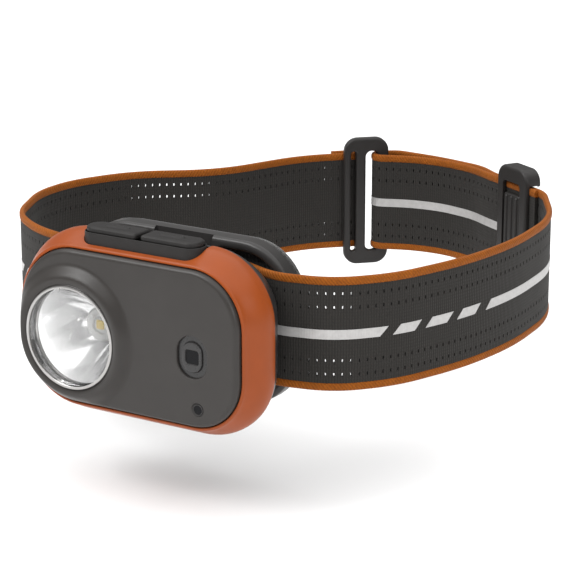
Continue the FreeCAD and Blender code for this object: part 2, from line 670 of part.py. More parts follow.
# ------------------------------------------------------------------------------------ the headband
def make_strap_loop():
    """The plastic loop at the band's sewn end: a narrow slot, a wide slot and a bar for the hem."""
    body = new_body("strap_loop", LOOP_X, LOOP_Y, 0, LOOP_TURN)
    half = z.loop_thick / 2
    plate = slab(body, -half, z.loop_thick, lambda s: add_rounded(s, LOOP_WIDE, buckle_height, 4.0))
    round_edges(body, plate, 0.6, in_plane(-half))
    slab(body, -half, z.loop_thick, lambda s: add_rounded(s, 1.6, slot_height, 0.78), cut=True, x=-4.1)
    slab(body, -half, z.loop_thick, lambda s: add_rounded(s, 3.8, slot_height, 1.8), cut=True, x=1.7)
    bar_middle = half + 2.5
    end = buckle_height / 2 - 2.0
    post = end - slot_height / 2
    for side in (-1, 1):
        slab(body, half, bar_middle + 0.75 - half, lambda s: add_rounded(s, 1.5, post, 0.4),
             x=HEM_BAR, y=side * (end - post / 2))
    slab(body, bar_middle - 0.75, 1.5, lambda s: add_rounded(s, 1.5, 2 * end, 0.5), x=HEM_BAR)


def make_strap_slider():
    """The slider: two bars on the head's side, one on the outside, and the strap between them."""
    body = new_body("strap_slider", SLIDER_X, SLIDER_Y, 0, SLIDER_TURN)
    half = z.slider_thick / 2
    block = slab(body, -half, z.slider_thick, lambda s: add_rounded(s, SLIDER_WIDE, buckle_height, 4.0))
    round_edges(body, block, 0.9, in_plane(-half))
    lane = z.strap_thick + 0.2
    lane_tall = z.strap_width + 1.0
    slab(body, -lane, 2 * lane, lambda s: add_rounded(s, SLIDER_WIDE + 2.0, lane_tall, 0.3), cut=True)
    slab(body, -half, half - lane + 0.1, lambda s: add_rounded(s, SLIDER_WIDE - 6.4, lane_tall, 1.0),
         cut=True)
    for side in (-1, 1):
        slab(body, lane - 0.1, half - lane + 0.2, lambda s: add_rounded(s, 6.5, lane_tall, 1.0), cut=True,
             x=side * 4.85)


def in_loop(along, out):
    """A point of the end loop's own frame, in the row's frame."""
    turn = math.radians(LOOP_TURN)
    return (LOOP_X + along * math.cos(turn) - out * math.sin(turn),
            LOOP_Y + along * math.sin(turn) + out * math.cos(turn))


def headband_route():
    """The strap's middle line seen from above: (x, y, ease), ease being an arc's tangent length.

    It starts at the hem behind the end loop, runs round the left side, through the cradle, round
    the right side and through the slider, folds round the end loop's bar, and comes back through
    the slider to its free end. Without an ease the arc takes 0.45 of its shorter run.
    """
    gap = z.strap_thick.value
    ply = z.loop_thick.value / 2 + 0.15 + gap / 2
    hem = ply + 2 * 1.75
    wide = bar_x.value - 32.4
    lane = strap_lane.value
    crest = cradle_front.value - 2.7
    window = (lug_inner + LUG_WIDE + 1.4).value
    fold = 2.4
    route = [in_loop(HEM_BAR - 8.0, hem) + (0,),
             in_loop(HEM_BAR + 1.75, hem) + (1.749,), in_loop(HEM_BAR + 1.75, ply) + (1.749,),
             (-33.8, 103.7, None), (-45.0, 74.3, None), (-65.2, 59.1, None), (-73.8 - wide, 40.2, None),
             (-73.8 - wide, 25.0, None), (-63.9 - wide, 3.2, None), (-48.4 - wide, -7.4, None),
             (2.9 - bar_x.value, crest, 5.0), (-window, lane, 3.0), (window, lane, 3.0),
             (bar_x.value - 2.9, crest, 5.0), (45.2 + wide, -7.9, None), (55.9 + wide, 4.9, None),
             (63.6 + wide, 27.2, None), (66.4 + wide, 49.9, None), (63.7, 78.1, None), (49.8, 101.6, 3.8),
             (27.5, 114.45, 3.8), (19.5, 120.9, 4.2), (3.0, 124.9, 7.0),
             in_loop(10.6, fold) + (2.5,), in_loop(2.5, fold) + (2.399,), in_loop(2.5, -fold) + (2.399,),
             (-4.5, 121.2, 4.5), (6.0, 122.2, 5.0), (18.0, 118.9, 4.2), (26.2, 113.65, 3.5),
             (47.5, 101.36, 0)]
    return route


def make_headband():
    """Sweep the strap's section along the route: straight runs joined by arcs, drawn flat, then raised."""
    route = headband_route()
    half = z.strap_thick.value / 2
    sides = ([], [])
    length = 0.0
    joints = [(Vector(route[0][0], route[0][1], 0),) * 3]
    for before, here, after in zip(route, route[1:], route[2:]):
        a, p, b = (Vector(point[0], point[1], 0) for point in (before, here, after))
        into, out = (p - a).normalize(), (b - p).normalize()
        turn = math.atan2(into.x * out.y - into.y * out.x, into.dot(out))
        ease = here[2] if here[2] else 0.45 * min(p.distanceToPoint(a), p.distanceToPoint(b))
        radius = ease / math.tan(abs(turn) / 2)
        side = 1 if turn > 0 else -1
        start, end = p - into * ease, p + out * ease
        centre = start + Vector(-into.y, into.x, 0) * (radius * side)
        length += (start - joints[-1][2]).Length + radius * abs(turn)
        if radius < 4:
            print("headband: arc of %.2f mm at %.1f, %.1f" % (radius, p.x, p.y))
        joints.append((start, centre, end, side, radius, p))
    last = Vector(route[-1][0], route[-1][1], 0)
    length += (last - joints[-1][2]).Length
    for shift, edges in zip((half, -half), sides):
        first_way = (joints[1][0] - joints[0][0]).normalize()
        pen = joints[0][0] + Vector(-first_way.y, first_way.x, 0) * shift
        for start, centre, end, side, radius, corner in joints[1:]:
            scale = (radius - side * shift) / radius
            begin = centre + (start - centre) * scale
            middle = centre + (corner - centre).normalize() * (radius - side * shift)
            finish = centre + (end - centre) * scale
            edges.append(Part.LineSegment(pen, begin).toShape())
            edges.append(Part.Arc(begin, middle, finish).toShape())
            pen = finish
        last_way = (last - joints[-1][2]).normalize()
        stop = last + Vector(-last_way.y, last_way.x, 0) * shift
        edges.append(Part.LineSegment(pen, stop).toShape())
    first_ends = [edges[0].firstVertex().Point for edges in sides]
    last_ends = [edges[-1].lastVertex().Point for edges in sides]
    outline = sides[0] + [Part.LineSegment(last_ends[0], last_ends[1]).toShape()]
    outline += sides[1] + [Part.LineSegment(first_ends[0], first_ends[1]).toShape()]
    face = Part.Face(Part.Wire(Part.__sortEdges__(outline)))
    strap = face.extrude(Vector(0, 0, z.strap_width.value))
    expected = length * z.strap_thick.value * z.strap_width.value
    print("headband: %.1f mm long, volume %.3f of length times section" % (length, strap.Volume / expected))
    shape_piece("headband", strap, 0, 0, -(z.strap_width / 2))


MAKERS = [make_front_shell, make_housing_band, make_rear_cover, make_lens_rim, make_main_lens,
          make_reflector, make_light_source, make_flood_light, make_light_sensor, make_seals, make_keys,
          make_electronics, make_port, make_cover_screws, make_tilt_pin, make_cradle, make_forehead_pad,
          make_strap_loop, make_strap_slider, make_headband]
for maker in MAKERS:
    maker()
doc.recompute()


def check_and_save():
    """Stop on any failed object or cut that removed nothing, then write one file a piece."""
    for obj in doc.Objects:
        if "Invalid" in obj.State or "Error" in obj.State:
            raise RuntimeError("failed: " + obj.Name)
        if obj.TypeId in ("PartDesign::Pocket", "PartDesign::Groove"):
            if obj.Shape.Volume > obj.BaseFeature.Shape.Volume - 1e-6:
                raise RuntimeError("cut nothing: " + obj.Name)
    pieces = [obj for obj in doc.Objects
              if obj.TypeId in ("PartDesign::Body", "Part::Feature", "Part::Cylinder")]
    os.makedirs("parts", exist_ok=True)
    for piece in pieces:
        if piece.Shape.isNull() or not piece.Shape.isValid():
            raise RuntimeError("bad shape: " + piece.Label)
    for piece in pieces:
        piece.Shape.exportStep("parts/%s.step" % piece.Label)
    print(len(pieces), "pieces saved")


check_and_save()
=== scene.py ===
"""Looks of the headlamp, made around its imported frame.

Everything is in the frame's own axes: +X is the wearer's left, -Y the way the beam points, +Z up.
Sizes are in millimetres until a mesh is made, and metres from there on.
"""
import math

import bmesh
import bpy
import numpy as np
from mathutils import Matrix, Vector
from mathutils.geometry import tessellate_polygon


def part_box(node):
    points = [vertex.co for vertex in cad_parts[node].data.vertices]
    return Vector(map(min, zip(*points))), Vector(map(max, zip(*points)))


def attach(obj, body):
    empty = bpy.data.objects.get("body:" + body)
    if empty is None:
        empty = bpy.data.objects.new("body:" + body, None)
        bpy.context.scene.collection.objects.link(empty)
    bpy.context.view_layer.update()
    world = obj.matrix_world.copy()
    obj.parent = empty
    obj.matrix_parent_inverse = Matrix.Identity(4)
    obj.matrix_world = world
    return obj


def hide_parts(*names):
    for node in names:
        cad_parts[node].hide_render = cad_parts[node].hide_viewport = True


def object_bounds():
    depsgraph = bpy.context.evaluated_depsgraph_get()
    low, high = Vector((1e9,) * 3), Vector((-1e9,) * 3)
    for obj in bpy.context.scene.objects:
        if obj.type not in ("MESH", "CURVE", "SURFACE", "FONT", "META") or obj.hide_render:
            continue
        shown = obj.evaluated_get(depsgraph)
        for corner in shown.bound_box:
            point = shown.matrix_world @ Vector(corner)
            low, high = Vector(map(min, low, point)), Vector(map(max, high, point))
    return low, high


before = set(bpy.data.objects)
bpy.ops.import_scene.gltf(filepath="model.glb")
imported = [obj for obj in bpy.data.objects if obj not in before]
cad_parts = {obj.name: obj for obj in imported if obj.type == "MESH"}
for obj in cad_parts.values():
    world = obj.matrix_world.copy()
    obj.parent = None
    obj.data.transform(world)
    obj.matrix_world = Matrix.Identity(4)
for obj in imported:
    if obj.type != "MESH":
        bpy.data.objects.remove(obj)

MM = 0.001
CAD_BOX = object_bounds()
QUARTER = math.pi / 2
STRIP = 0.06                     # width of the flat strip round a filled face, so that it shades flat
ORIGIN = (0, 0, 0)


def box_mm(node):
    """Lowest and highest corner of a CAD node, in millimetres."""
    low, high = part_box(node)
    return np.array(low) / MM, np.array(high) / MM


def middle_of(node):
    """The middle of a CAD node's box, in millimetres."""
    return sum(box_mm(node)) / 2


# ---- places read from the frame
shell_low, shell_high = box_mm("front_shell")
band_low, band_high = box_mm("housing_band")
rim_low, rim_high = box_mm("lens_rim")
lens_low, lens_high = box_mm("main_lens")
reflector_low, reflector_high = box_mm("reflector")
cradle_low, cradle_high = box_mm("cradle_frame")
pad_low, pad_high = box_mm("forehead_pad")

# The lamp's own frame: x and z from its middle, y backwards from the orange band's front edge.
LAMP = np.array([(shell_low[0] + shell_high[0]) / 2, band_low[1] - 0.6, (shell_low[2] + shell_high[2]) / 2])
SHELL_WIDE = shell_high[0] - shell_low[0]
SHELL_TALL = shell_high[2] - shell_low[2]
CORNER_LEFT, CORNER_RIGHT = 16.6, 14.3
FACE = -1.2                                        # front shell's face, in the lamp's frame
PLATE_BACK = 1.6
CROWN = 0.85                                       # how far the face falls back at its top and bottom edges
BAND_BACK = band_high[1] - LAMP[1]
COVER_BACK = 21.4
SEAT_ROUND = 0.47                                  # key seat's end radius over its width
LENS = (middle_of("lens_rim") - LAMP)[[0, 2]]
RIM_FRONT = rim_low[1] - LAMP[1]
RIM_RADIUS = (rim_high[0] - rim_low[0]) / 2 - 0.45
LENS_RADIUS = (lens_high[0] - lens_low[0]) / 2 - 0.5
FLOOD = (middle_of("flood_bezel") - LAMP)[[0, 2]]
SENSOR = (middle_of("sensor_window") - LAMP)[[0, 2]]


# ---- mesh building
def outline(wide, tall, left, right=None, middle=(0, 0), steps=10):
    """A rounded rectangle as points: four quarter circles of the two corner radii, joined by straights."""
    right = left if right is None else right
    quarter = np.linspace(0, QUARTER, steps + 1)
    corners = ((wide / 2 - right, tall / 2 - right, right), (left - wide / 2, tall / 2 - left, left),
               (left - wide / 2, left - tall / 2, left), (wide / 2 - right, right - tall / 2, right))
    arcs = []
    for turn, (x, z, radius) in enumerate(corners):
        angle = quarter + turn * QUARTER
        arcs.append(np.stack([x + radius * np.cos(angle), z + radius * np.sin(angle)], 1))
    return np.concatenate(arcs) + middle


def circle(radius, middle=(0, 0), steps=96):
    angle = np.arange(steps) * 2 * math.pi / steps
    return np.stack([np.cos(angle), np.sin(angle)], 1) * radius + middle


def grown(shape, offset):
    """The rounded rectangle (wide, tall, left, right, middle) with its edge moved outwards by offset."""
    wide, tall, left, right, middle = shape
    left, right = max(left + offset, 0.02), max(right + offset, 0.02)
    return outline(wide + 2 * offset, tall + 2 * offset, left, right, middle)


def stood(points, level, order):
    """Flat points with the level as their third number, put in the given order of axes."""
    return np.column_stack([points, np.full(len(points), float(level))])[:, order]


def facing(points, level):
    """Flat points set up in the XZ plane at one y."""
    return stood(points, level, (0, 2, 1))


def lying(points, level):
    """Flat points laid in the XY plane at one height."""
    return stood(points, level, (0, 1, 2))


def across(points, level):
    """Flat points (y, z) set up in the YZ plane at one x."""
    return stood(points, level, (2, 0, 1))


def layers(shape, wall, stand=facing, way=1):
    """The shape at each level of the wall, moved outwards by the offset, or inwards if way is -1."""
    return [stand(grown(shape, way * offset), level) for offset, level in wall]


def discs(profile, middle, steps, stand=facing):
    """A circle about the middle for each (radius, level) of the profile."""
    return [stand(circle(radius, middle, steps), level) for radius, level in profile]


def rounded_wall(front, back, front_radius, back_radius, steps=5):
    """A wall's profile as (inset, level): a quarter circle at each end, and a flat strip past each."""
    angle = np.linspace(0, QUARTER, steps + 1)
    inset, depth = 1 - np.sin(angle), 1 - np.cos(angle)
    rise = list(zip(front_radius * inset, front + front_radius * depth))
    drop = list(zip(back_radius * inset[::-1], back - back_radius * depth[::-1]))
    return [(front_radius + STRIP, front), *rise, *drop, (back_radius + STRIP, back)]


def shown(name, data):
    """A new object of the data, linked into the scene."""
    made = bpy.data.objects.new(name, data)
    bpy.context.scene.collection.objects.link(made)
    return made


class Skin:
    """Points and faces gathered from several surfaces, in millimetres, made into one mesh."""

    def __init__(self):
        self.points = []
        self.faces = []
        self.count = 0

    def add(self, points, faces):
        self.points.append(np.asarray(points, float).reshape(-1, 3))
        self.faces += [tuple(int(i) + self.count for i in face) for face in faces]
        self.count += len(self.points[-1])

    def stack(self, rings, close=False):
        """Quads between closed rings of equal length; close joins the last ring to the first."""
        rings = np.asarray(rings, float)
        rows, columns = rings.shape[:2]
        row = np.arange(rows if close else rows - 1)[:, None]
        column = np.arange(columns)[None, :]
        here, below = row * columns, ((row + 1) % rows) * columns
        after = (column + 1) % columns
        quads = np.stack([here + column, here + after, below + after, below + column], -1)
        self.add(rings.reshape(-1, 3), quads.reshape(-1, 4))

    def fill(self, *loops):
        """A flat face inside the first loop and outside the others."""
        triangles = tessellate_polygon([[Vector(point) for point in loop] for loop in loops])
        self.add(np.concatenate(loops), triangles)

    def plug(self, rings):
        """A solid: the rings as its side, and a flat face inside the first and the last."""
        self.stack(rings)
        self.fill(rings[0])
        self.fill(rings[-1])

    def plate(self, shape, holes, wall):
        """A plate with holes whose edges all carry the wall's profile."""
        outer = layers(shape, wall, way=-1)
        inner = [layers(hole, wall) for hole in holes]
        for rings in [outer] + inner:
            self.stack(rings)
        self.fill(outer[0], *[rings[0] for rings in inner])
        self.fill(outer[-1], *[rings[-1] for rings in inner])

    def build(self, name, place=ORIGIN, turn=0.0):
        """One object with its place in its mesh: turned about Z, moved, welded, faces outwards."""
        points = np.concatenate(self.points)
        c, s = math.cos(turn), math.sin(turn)
        points = points @ np.array([[c, s, 0], [-s, c, 0], [0, 0, 1]]) + place
        mesh = bpy.data.meshes.new(name)
        mesh.from_pydata((points * MM).tolist(), [], self.faces)
        work = bmesh.new()
        work.from_mesh(mesh)
        bmesh.ops.remove_doubles(work, verts=work.verts, dist=2e-6)
        bmesh.ops.dissolve_degenerate(work, edges=work.edges, dist=1e-7)
        bmesh.ops.recalc_face_normals(work, faces=work.faces)
        work.to_mesh(mesh)
        work.free()
        return shown(name, mesh)


def solid(name, rings, place=LAMP, turn=0.0):
    """The rings as a side, closed by a flat face at either end."""
    skin = Skin()
    skin.plug(rings)
    return skin.build(name, place, turn)


def tube(name, rings):
    """The rings one after another and back to the first, in the lamp's frame."""
    skin = Skin()
    skin.stack(rings, close=True)
    return skin.build(name, LAMP)


def slab(name, shape, holes, wall, place=LAMP, turn=0.0):
    """A plate with holes, its edges carrying the wall's profile."""
    skin = Skin()
    skin.plate(shape, holes, wall)
    return skin.build(name, place, turn)


def prism(shape, front, back, stand=facing, place=LAMP, turn=0.0):
    """A plain prism, to cut with or to join on."""
    return solid("prism", layers(shape, [(0, front), (0, back)], stand), place, turn)


def carve(piece, tool, operation="DIFFERENCE"):
    """Cut the tool's shape out of the piece, or join it on, and keep the result as the piece's mesh."""
    modifier = piece.modifiers.new("carve", "BOOLEAN")
    modifier.operation = operation
    modifier.solver = "EXACT"
    modifier.object = tool
    graph = bpy.context.evaluated_depsgraph_get()
    mesh = bpy.data.meshes.new_from_object(piece.evaluated_get(graph))
    piece.modifiers.clear()
    piece.data = mesh
    bpy.data.objects.remove(tool)


def settle(piece, paint, body, nodes=(), sharp=32):
    """Give a finished mesh its material, its shading, its body and the CAD nodes it stands for."""
    piece.data.materials.clear()
    piece.data.materials.append(paint)
    piece.data.polygons.foreach_set("use_smooth", np.ones(len(piece.data.polygons), bool))
    piece.data.set_sharp_from_angle(angle=math.radians(sharp))
    weighted = piece.modifiers.new("shading", "WEIGHTED_NORMAL")
    weighted.keep_sharp = True
    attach(piece, body)
    if nodes:
        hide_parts(*nodes)
    return piece


# ---- materials
RIB_PITCH = 0.00071              # of the strap's cloth, in metres


class Paint:
    """A material whose nodes are added one by one, on Object coordinates unless told otherwise."""

    def __init__(self, name, colour, roughness, **sockets):
        self.material = bpy.data.materials.new(name)
        self.material.use_nodes = True
        self.tree = self.material.node_tree
        self.skin = self.tree.nodes["Principled BSDF"]
        self.place = self.tree.nodes.new("ShaderNodeTexCoord").outputs["Object"]
        self.skin.inputs["Base Color"].default_value = (*colour, 1)
        self.skin.inputs["Roughness"].default_value = roughness
        for socket, value in sockets.items():
            self.skin.inputs[socket.replace("_", " ")].default_value = value

    def node(self, kind, settings=(), **sockets):
        made = self.tree.nodes.new("ShaderNode" + kind)
        for key, value in dict(settings).items():
            setattr(made, key, value)
        for socket, value in sockets.items():
            target = made.inputs[int(socket[1:]) if socket[0] == "_" else socket.replace("_", " ")]
            if isinstance(value, bpy.types.NodeSocket):
                self.tree.links.new(value, target)
            else:
                target.default_value = value
        return made

    def noise(self, size, detail=2.0, rough=0.5):
        """Soft noise whose grains are about size metres across."""
        made = self.node("TexNoise", Vector=self.place, Scale=1 / size, Detail=detail, Roughness=rough)
        return made.outputs["Fac"]

    def times(self, first, second):
        return self.node("Math", {"operation": "MULTIPLY"}, _0=first, _1=second).outputs[0]

    def plus(self, first, second):
        return self.node("Math", {"operation": "ADD"}, _0=first, _1=second).outputs[0]

    def spread(self, value, low, high):
        """A value from 0 to 1 spread between low and high."""
        return self.node("MapRange", Value=value, To_Min=low, To_Max=high).outputs["Result"]

    def blend(self, factor, first, second):
        mix = self.node("Mix", {"data_type": "RGBA"}, _0=factor)
        for index, colour in ((6, first), (7, second)):
            if isinstance(colour, bpy.types.NodeSocket):
                self.tree.links.new(colour, mix.inputs[index])
            else:
                mix.inputs[index].default_value = (*colour, 1)
        return mix.outputs[2]

    def tint(self, colour):
        self.tree.links.new(colour, self.skin.inputs["Base Color"])

    def roughen(self, value):
        self.tree.links.new(value, self.skin.inputs["Roughness"])

    def bump(self, *layers):
        """Raise the surface by each layer's height times its depth in metres, one over another."""
        normal = None
        for height, depth in layers:
            made = self.node("Bump", Height=height, Distance=depth, Strength=1.0)
            if normal:
                self.tree.links.new(normal, made.inputs["Normal"])
            normal = made.outputs["Normal"]
        self.tree.links.new(normal, self.skin.inputs["Normal"])


def moulded(name, colour, roughness, grain=0.00028, depth=0.000012, **sockets):
    """Satin moulded plastic: a fine spark-eroded grain, faint cloudiness, and uneven gloss."""
    paint = Paint(name, colour, roughness, **sockets)
    cloud = paint.noise(0.006, 3)
    dark, light = [c * 0.9 for c in colour], [c * 1.12 for c in colour]
    paint.tint(paint.blend(cloud, dark, light))
    paint.roughen(paint.spread(paint.noise(0.0016, 4), roughness - 0.05, roughness + 0.06))
    paint.bump((paint.noise(grain, 1.5), depth))
    return paint.material


def cloth_uv(paint):
    """The piece's own UV map in metres: along the strap, and across it."""
    made = paint.node("UVMap", {"uv_map": "strap"})
    parts = paint.node("SeparateXYZ", Vector=made.outputs["UV"])
    return parts.outputs["X"], parts.outputs["Y"]


def wave(paint, value, pitch):
    """A sine of the value, from 0 to 1, with the given pitch in metres."""
    sine = paint.node("Math", {"operation": "SINE"}, _0=paint.times(value, 2 * math.pi / pitch))
    return paint.node("MapRange", Value=sine.outputs[0], From_Min=-1.0, From_Max=1.0).outputs["Result"]


def webbing_paint():
    """Charcoal elastic: ribs across the strap, cords along it, and slightly uneven dye."""
    paint = Paint("charcoal_webbing", (0.024, 0.022, 0.02), 0.8, Specular_IOR_Level=0.2, Sheen_Weight=0.05)
    along, over = cloth_uv(paint)
    ribs = wave(paint, along, RIB_PITCH)
    cords = wave(paint, over, 0.00085)
    weave = paint.times(ribs, paint.spread(cords, 0.55, 1.0))
    yarn = paint.noise(0.0005, 3)
    tone = paint.plus(paint.times(weave, 0.6), paint.times(yarn, 0.4))
    paint.tint(paint.blend(tone, (0.018, 0.0165, 0.015), (0.036, 0.033, 0.030)))
    paint.bump((weave, 0.00009), (yarn, 0.00003))
    return paint.material


def edging_paint():
    """Orange woven edge: a diagonal twill with darker gaps and a few dull threads."""
    paint = Paint("orange_edging", (0.34, 0.10, 0.006), 0.66, Specular_IOR_Level=0.15, Sheen_Weight=0.04)
    along, over = cloth_uv(paint)
    twill = wave(paint, paint.plus(along, paint.times(over, 0.8)), 0.0009)
    flecks = paint.noise(0.0007, 2)
    orange = paint.blend(paint.noise(0.004, 2), (0.27, 0.070, 0.003), (0.38, 0.105, 0.006))
    worn = paint.blend(paint.spread(flecks, -0.4, 0.75), orange, (0.17, 0.045, 0.004))
    paint.tint(paint.blend(paint.spread(twill, 0.28, 0.0), worn, (0.07, 0.022, 0.004)))
    paint.bump((twill, 0.00011), (flecks, 0.00004))
    return paint.material


def stripe_paint():
    """Pale grey reflective print: fine glass beads over the rib of the cloth below."""
    paint = Paint("reflective_print", (0.62, 0.61, 0.6), 0.38, Metallic=0.25)
    along, _ = cloth_uv(paint)
    beads = paint.noise(0.00025, 2)
    paint.tint(paint.blend(paint.noise(0.0012, 3), (0.40, 0.39, 0.385), (0.56, 0.55, 0.54)))
    paint.bump((wave(paint, along, RIB_PITCH), 0.00002), (beads, 0.00002))
    return paint.material


def rubber_paint(name, colour, roughness=0.62):
    """Matt rubber: faintly blotched, with a very fine grain."""
    paint = Paint(name, colour, roughness, Specular_IOR_Level=0.25)
    paint.tint(paint.blend(paint.noise(0.003, 3), [c * 0.85 for c in colour], [c * 1.2 for c in colour]))
    paint.bump((paint.noise(0.00018, 2), 0.000016))
    return paint.material


def foam_paint():
    """Open mesh cloth over foam: staggered pin holes with thread between them."""
    paint = Paint("pad_mesh_cloth", (0.03, 0.03, 0.03), 0.85, Sheen_Weight=0.25, Sheen_Roughness=0.5)
    cells = paint.node("TexVoronoi", {"feature": "F1"}, Vector=paint.place, Scale=1 / 0.0011, Randomness=0.25)
    holes = paint.node("MapRange", Value=cells.outputs["Distance"], From_Min=0.15, From_Max=0.5)
    paint.tint(paint.blend(holes.outputs["Result"], (0.010, 0.010, 0.010), (0.05, 0.049, 0.047)))
    paint.bump((holes.outputs["Result"], 0.00018), (paint.noise(0.0003, 3), 0.00003))
    return paint.material


def clear_paint(name, tint, cover, roughness=0.03):
    """A thin clear moulding: it lets light straight through, and mirrors more at a glancing angle."""
    paint = Paint(name, tint, roughness)
    tree = paint.tree
    clear = paint.node("BsdfTransparent", Color=(*tint, 1))
    gloss = paint.node("BsdfGlossy", Roughness=roughness, Color=(1, 1, 1, 1))
    edge = paint.node("Fresnel", IOR=1.5)
    share = paint.plus(paint.times(edge.outputs["Fac"], 0.9), cover)
    mix = paint.node("MixShader", _0=share)
    tree.links.new(clear.outputs[0], mix.inputs[1])
    tree.links.new(gloss.outputs[0], mix.inputs[2])
    tree.links.new(mix.outputs[0], tree.nodes["Material Output"].inputs["Surface"])
    tree.nodes.remove(paint.skin)
    return paint.material


def chrome_paint():
    """Vacuum-metallised plastic: a mirror with the faintest orange peel."""
    paint = Paint("reflector_mirror", (0.9, 0.9, 0.9), 0.09, Metallic=1.0)
    paint.roughen(paint.spread(paint.noise(0.004, 2), 0.06, 0.14))
    paint.bump((paint.noise(0.003, 1), 0.000012))
    return paint.material


def metal_paint(name, colour, roughness):
    """Bare metal with uneven polish."""
    paint = Paint(name, colour, roughness, Metallic=1.0)
    paint.roughen(paint.spread(paint.noise(0.0008, 4), roughness - 0.08, roughness + 0.1))
    paint.bump((paint.noise(0.0002, 2), 0.000006))
    return paint.material


def board_paint():
    """Green solder mask with pale pads on a grid."""
    paint = Paint("circuit_board", (0.03, 0.16, 0.07), 0.35, Coat_Weight=0.3)
    cells = paint.node("TexVoronoi", {"feature": "F1"}, Vector=paint.place, Scale=1 / 0.0021, Randomness=0.4)
    pads = paint.node("MapRange", Value=cells.outputs["Distance"], From_Min=0.16, From_Max=0.2)
    paint.tint(paint.blend(pads.outputs["Result"], (0.6, 0.55, 0.4), (0.03, 0.16, 0.07)))
    return paint.material


SHELL_GREY = moulded("front_shell_grey", (0.038, 0.0345, 0.032), 0.33, Specular_IOR_Level=0.28)
BAND_ORANGE = moulded("housing_orange", (0.29, 0.056, 0.007), 0.36, depth=0.000008, Specular_IOR_Level=0.28)
COVER_BLACK = moulded("cover_black", (0.022, 0.021, 0.021), 0.34, Specular_IOR_Level=0.4)
CRADLE_GREY = moulded("cradle_grey", (0.034, 0.032, 0.031), 0.3, Specular_IOR_Level=0.33)
BUCKLE_BLACK = moulded("buckle_black", (0.024, 0.022, 0.021), 0.42, Specular_IOR_Level=0.3)
RIM_SATIN = moulded("lens_ring_satin", (0.42, 0.41, 0.40), 0.25, Metallic=0.85)
BEZEL_BLACK = moulded("bezel_black", (0.022, 0.021, 0.021), 0.28)
KEY_RUBBER = rubber_paint("key_rubber", (0.019, 0.0175, 0.0168), 0.5)
SEAL_RUBBER = rubber_paint("seal_rubber", (0.02, 0.02, 0.02))
PORT_RUBBER = rubber_paint("port_rubber", (0.032, 0.031, 0.031))
WEBBING = webbing_paint()
EDGING = edging_paint()
STRIPE = stripe_paint()
FOAM = foam_paint()
LENS_CLEAR = clear_paint("lens_clear", (0.99, 0.99, 0.99), 0.01)
WINDOW_SMOKED = moulded("window_smoked", (0.004, 0.004, 0.005), 0.16, depth=0.0, Specular_IOR_Level=0.15)
CHROME = chrome_paint()
WHITE_RING = moulded("centring_white", (0.72, 0.72, 0.70), 0.35)
PHOSPHOR = moulded("led_phosphor", (0.86, 0.62, 0.12), 0.5)
CHIP_BLACK = moulded("chip_black", (0.02, 0.02, 0.02), 0.45)
BOARD = board_paint()
BOARD_METAL = metal_paint("board_aluminium", (0.75, 0.75, 0.75), 0.4)
STEEL = metal_paint("pin_steel", (0.55, 0.55, 0.55), 0.3)
CELL_WRAP = moulded("cell_wrap", (0.05, 0.10, 0.28), 0.25)
THREAD = rubber_paint("sewing_thread", (0.05, 0.05, 0.05), 0.7)


# ---- the lamp's casing
def casing_ring(offset, level):
    """The front shell's outline moved outwards by offset, at one depth of the lamp."""
    corners = CORNER_LEFT + offset, CORNER_RIGHT + offset
    return facing(outline(SHELL_WIDE + 2 * offset, SHELL_TALL + 2 * offset, *corners, steps=20), level)


def depth_inside(points):
    """How far each point lies inside the front shell's outline, negative outside it."""
    x, z = points[..., 0], points[..., 1]
    radius = np.where(x < 0, CORNER_LEFT, CORNER_RIGHT)
    dx = np.abs(x) - SHELL_WIDE / 2 + radius
    dz = np.abs(z) - SHELL_TALL / 2 + radius
    return radius - np.hypot(np.maximum(dx, 0), np.maximum(dz, 0)) - np.minimum(np.maximum(dx, dz), 0)


def face_level(height):
    """The front shell's face is crowned: it falls back by the square of the height over the half height."""
    return FACE + CROWN * (2 * height / SHELL_TALL) ** 2


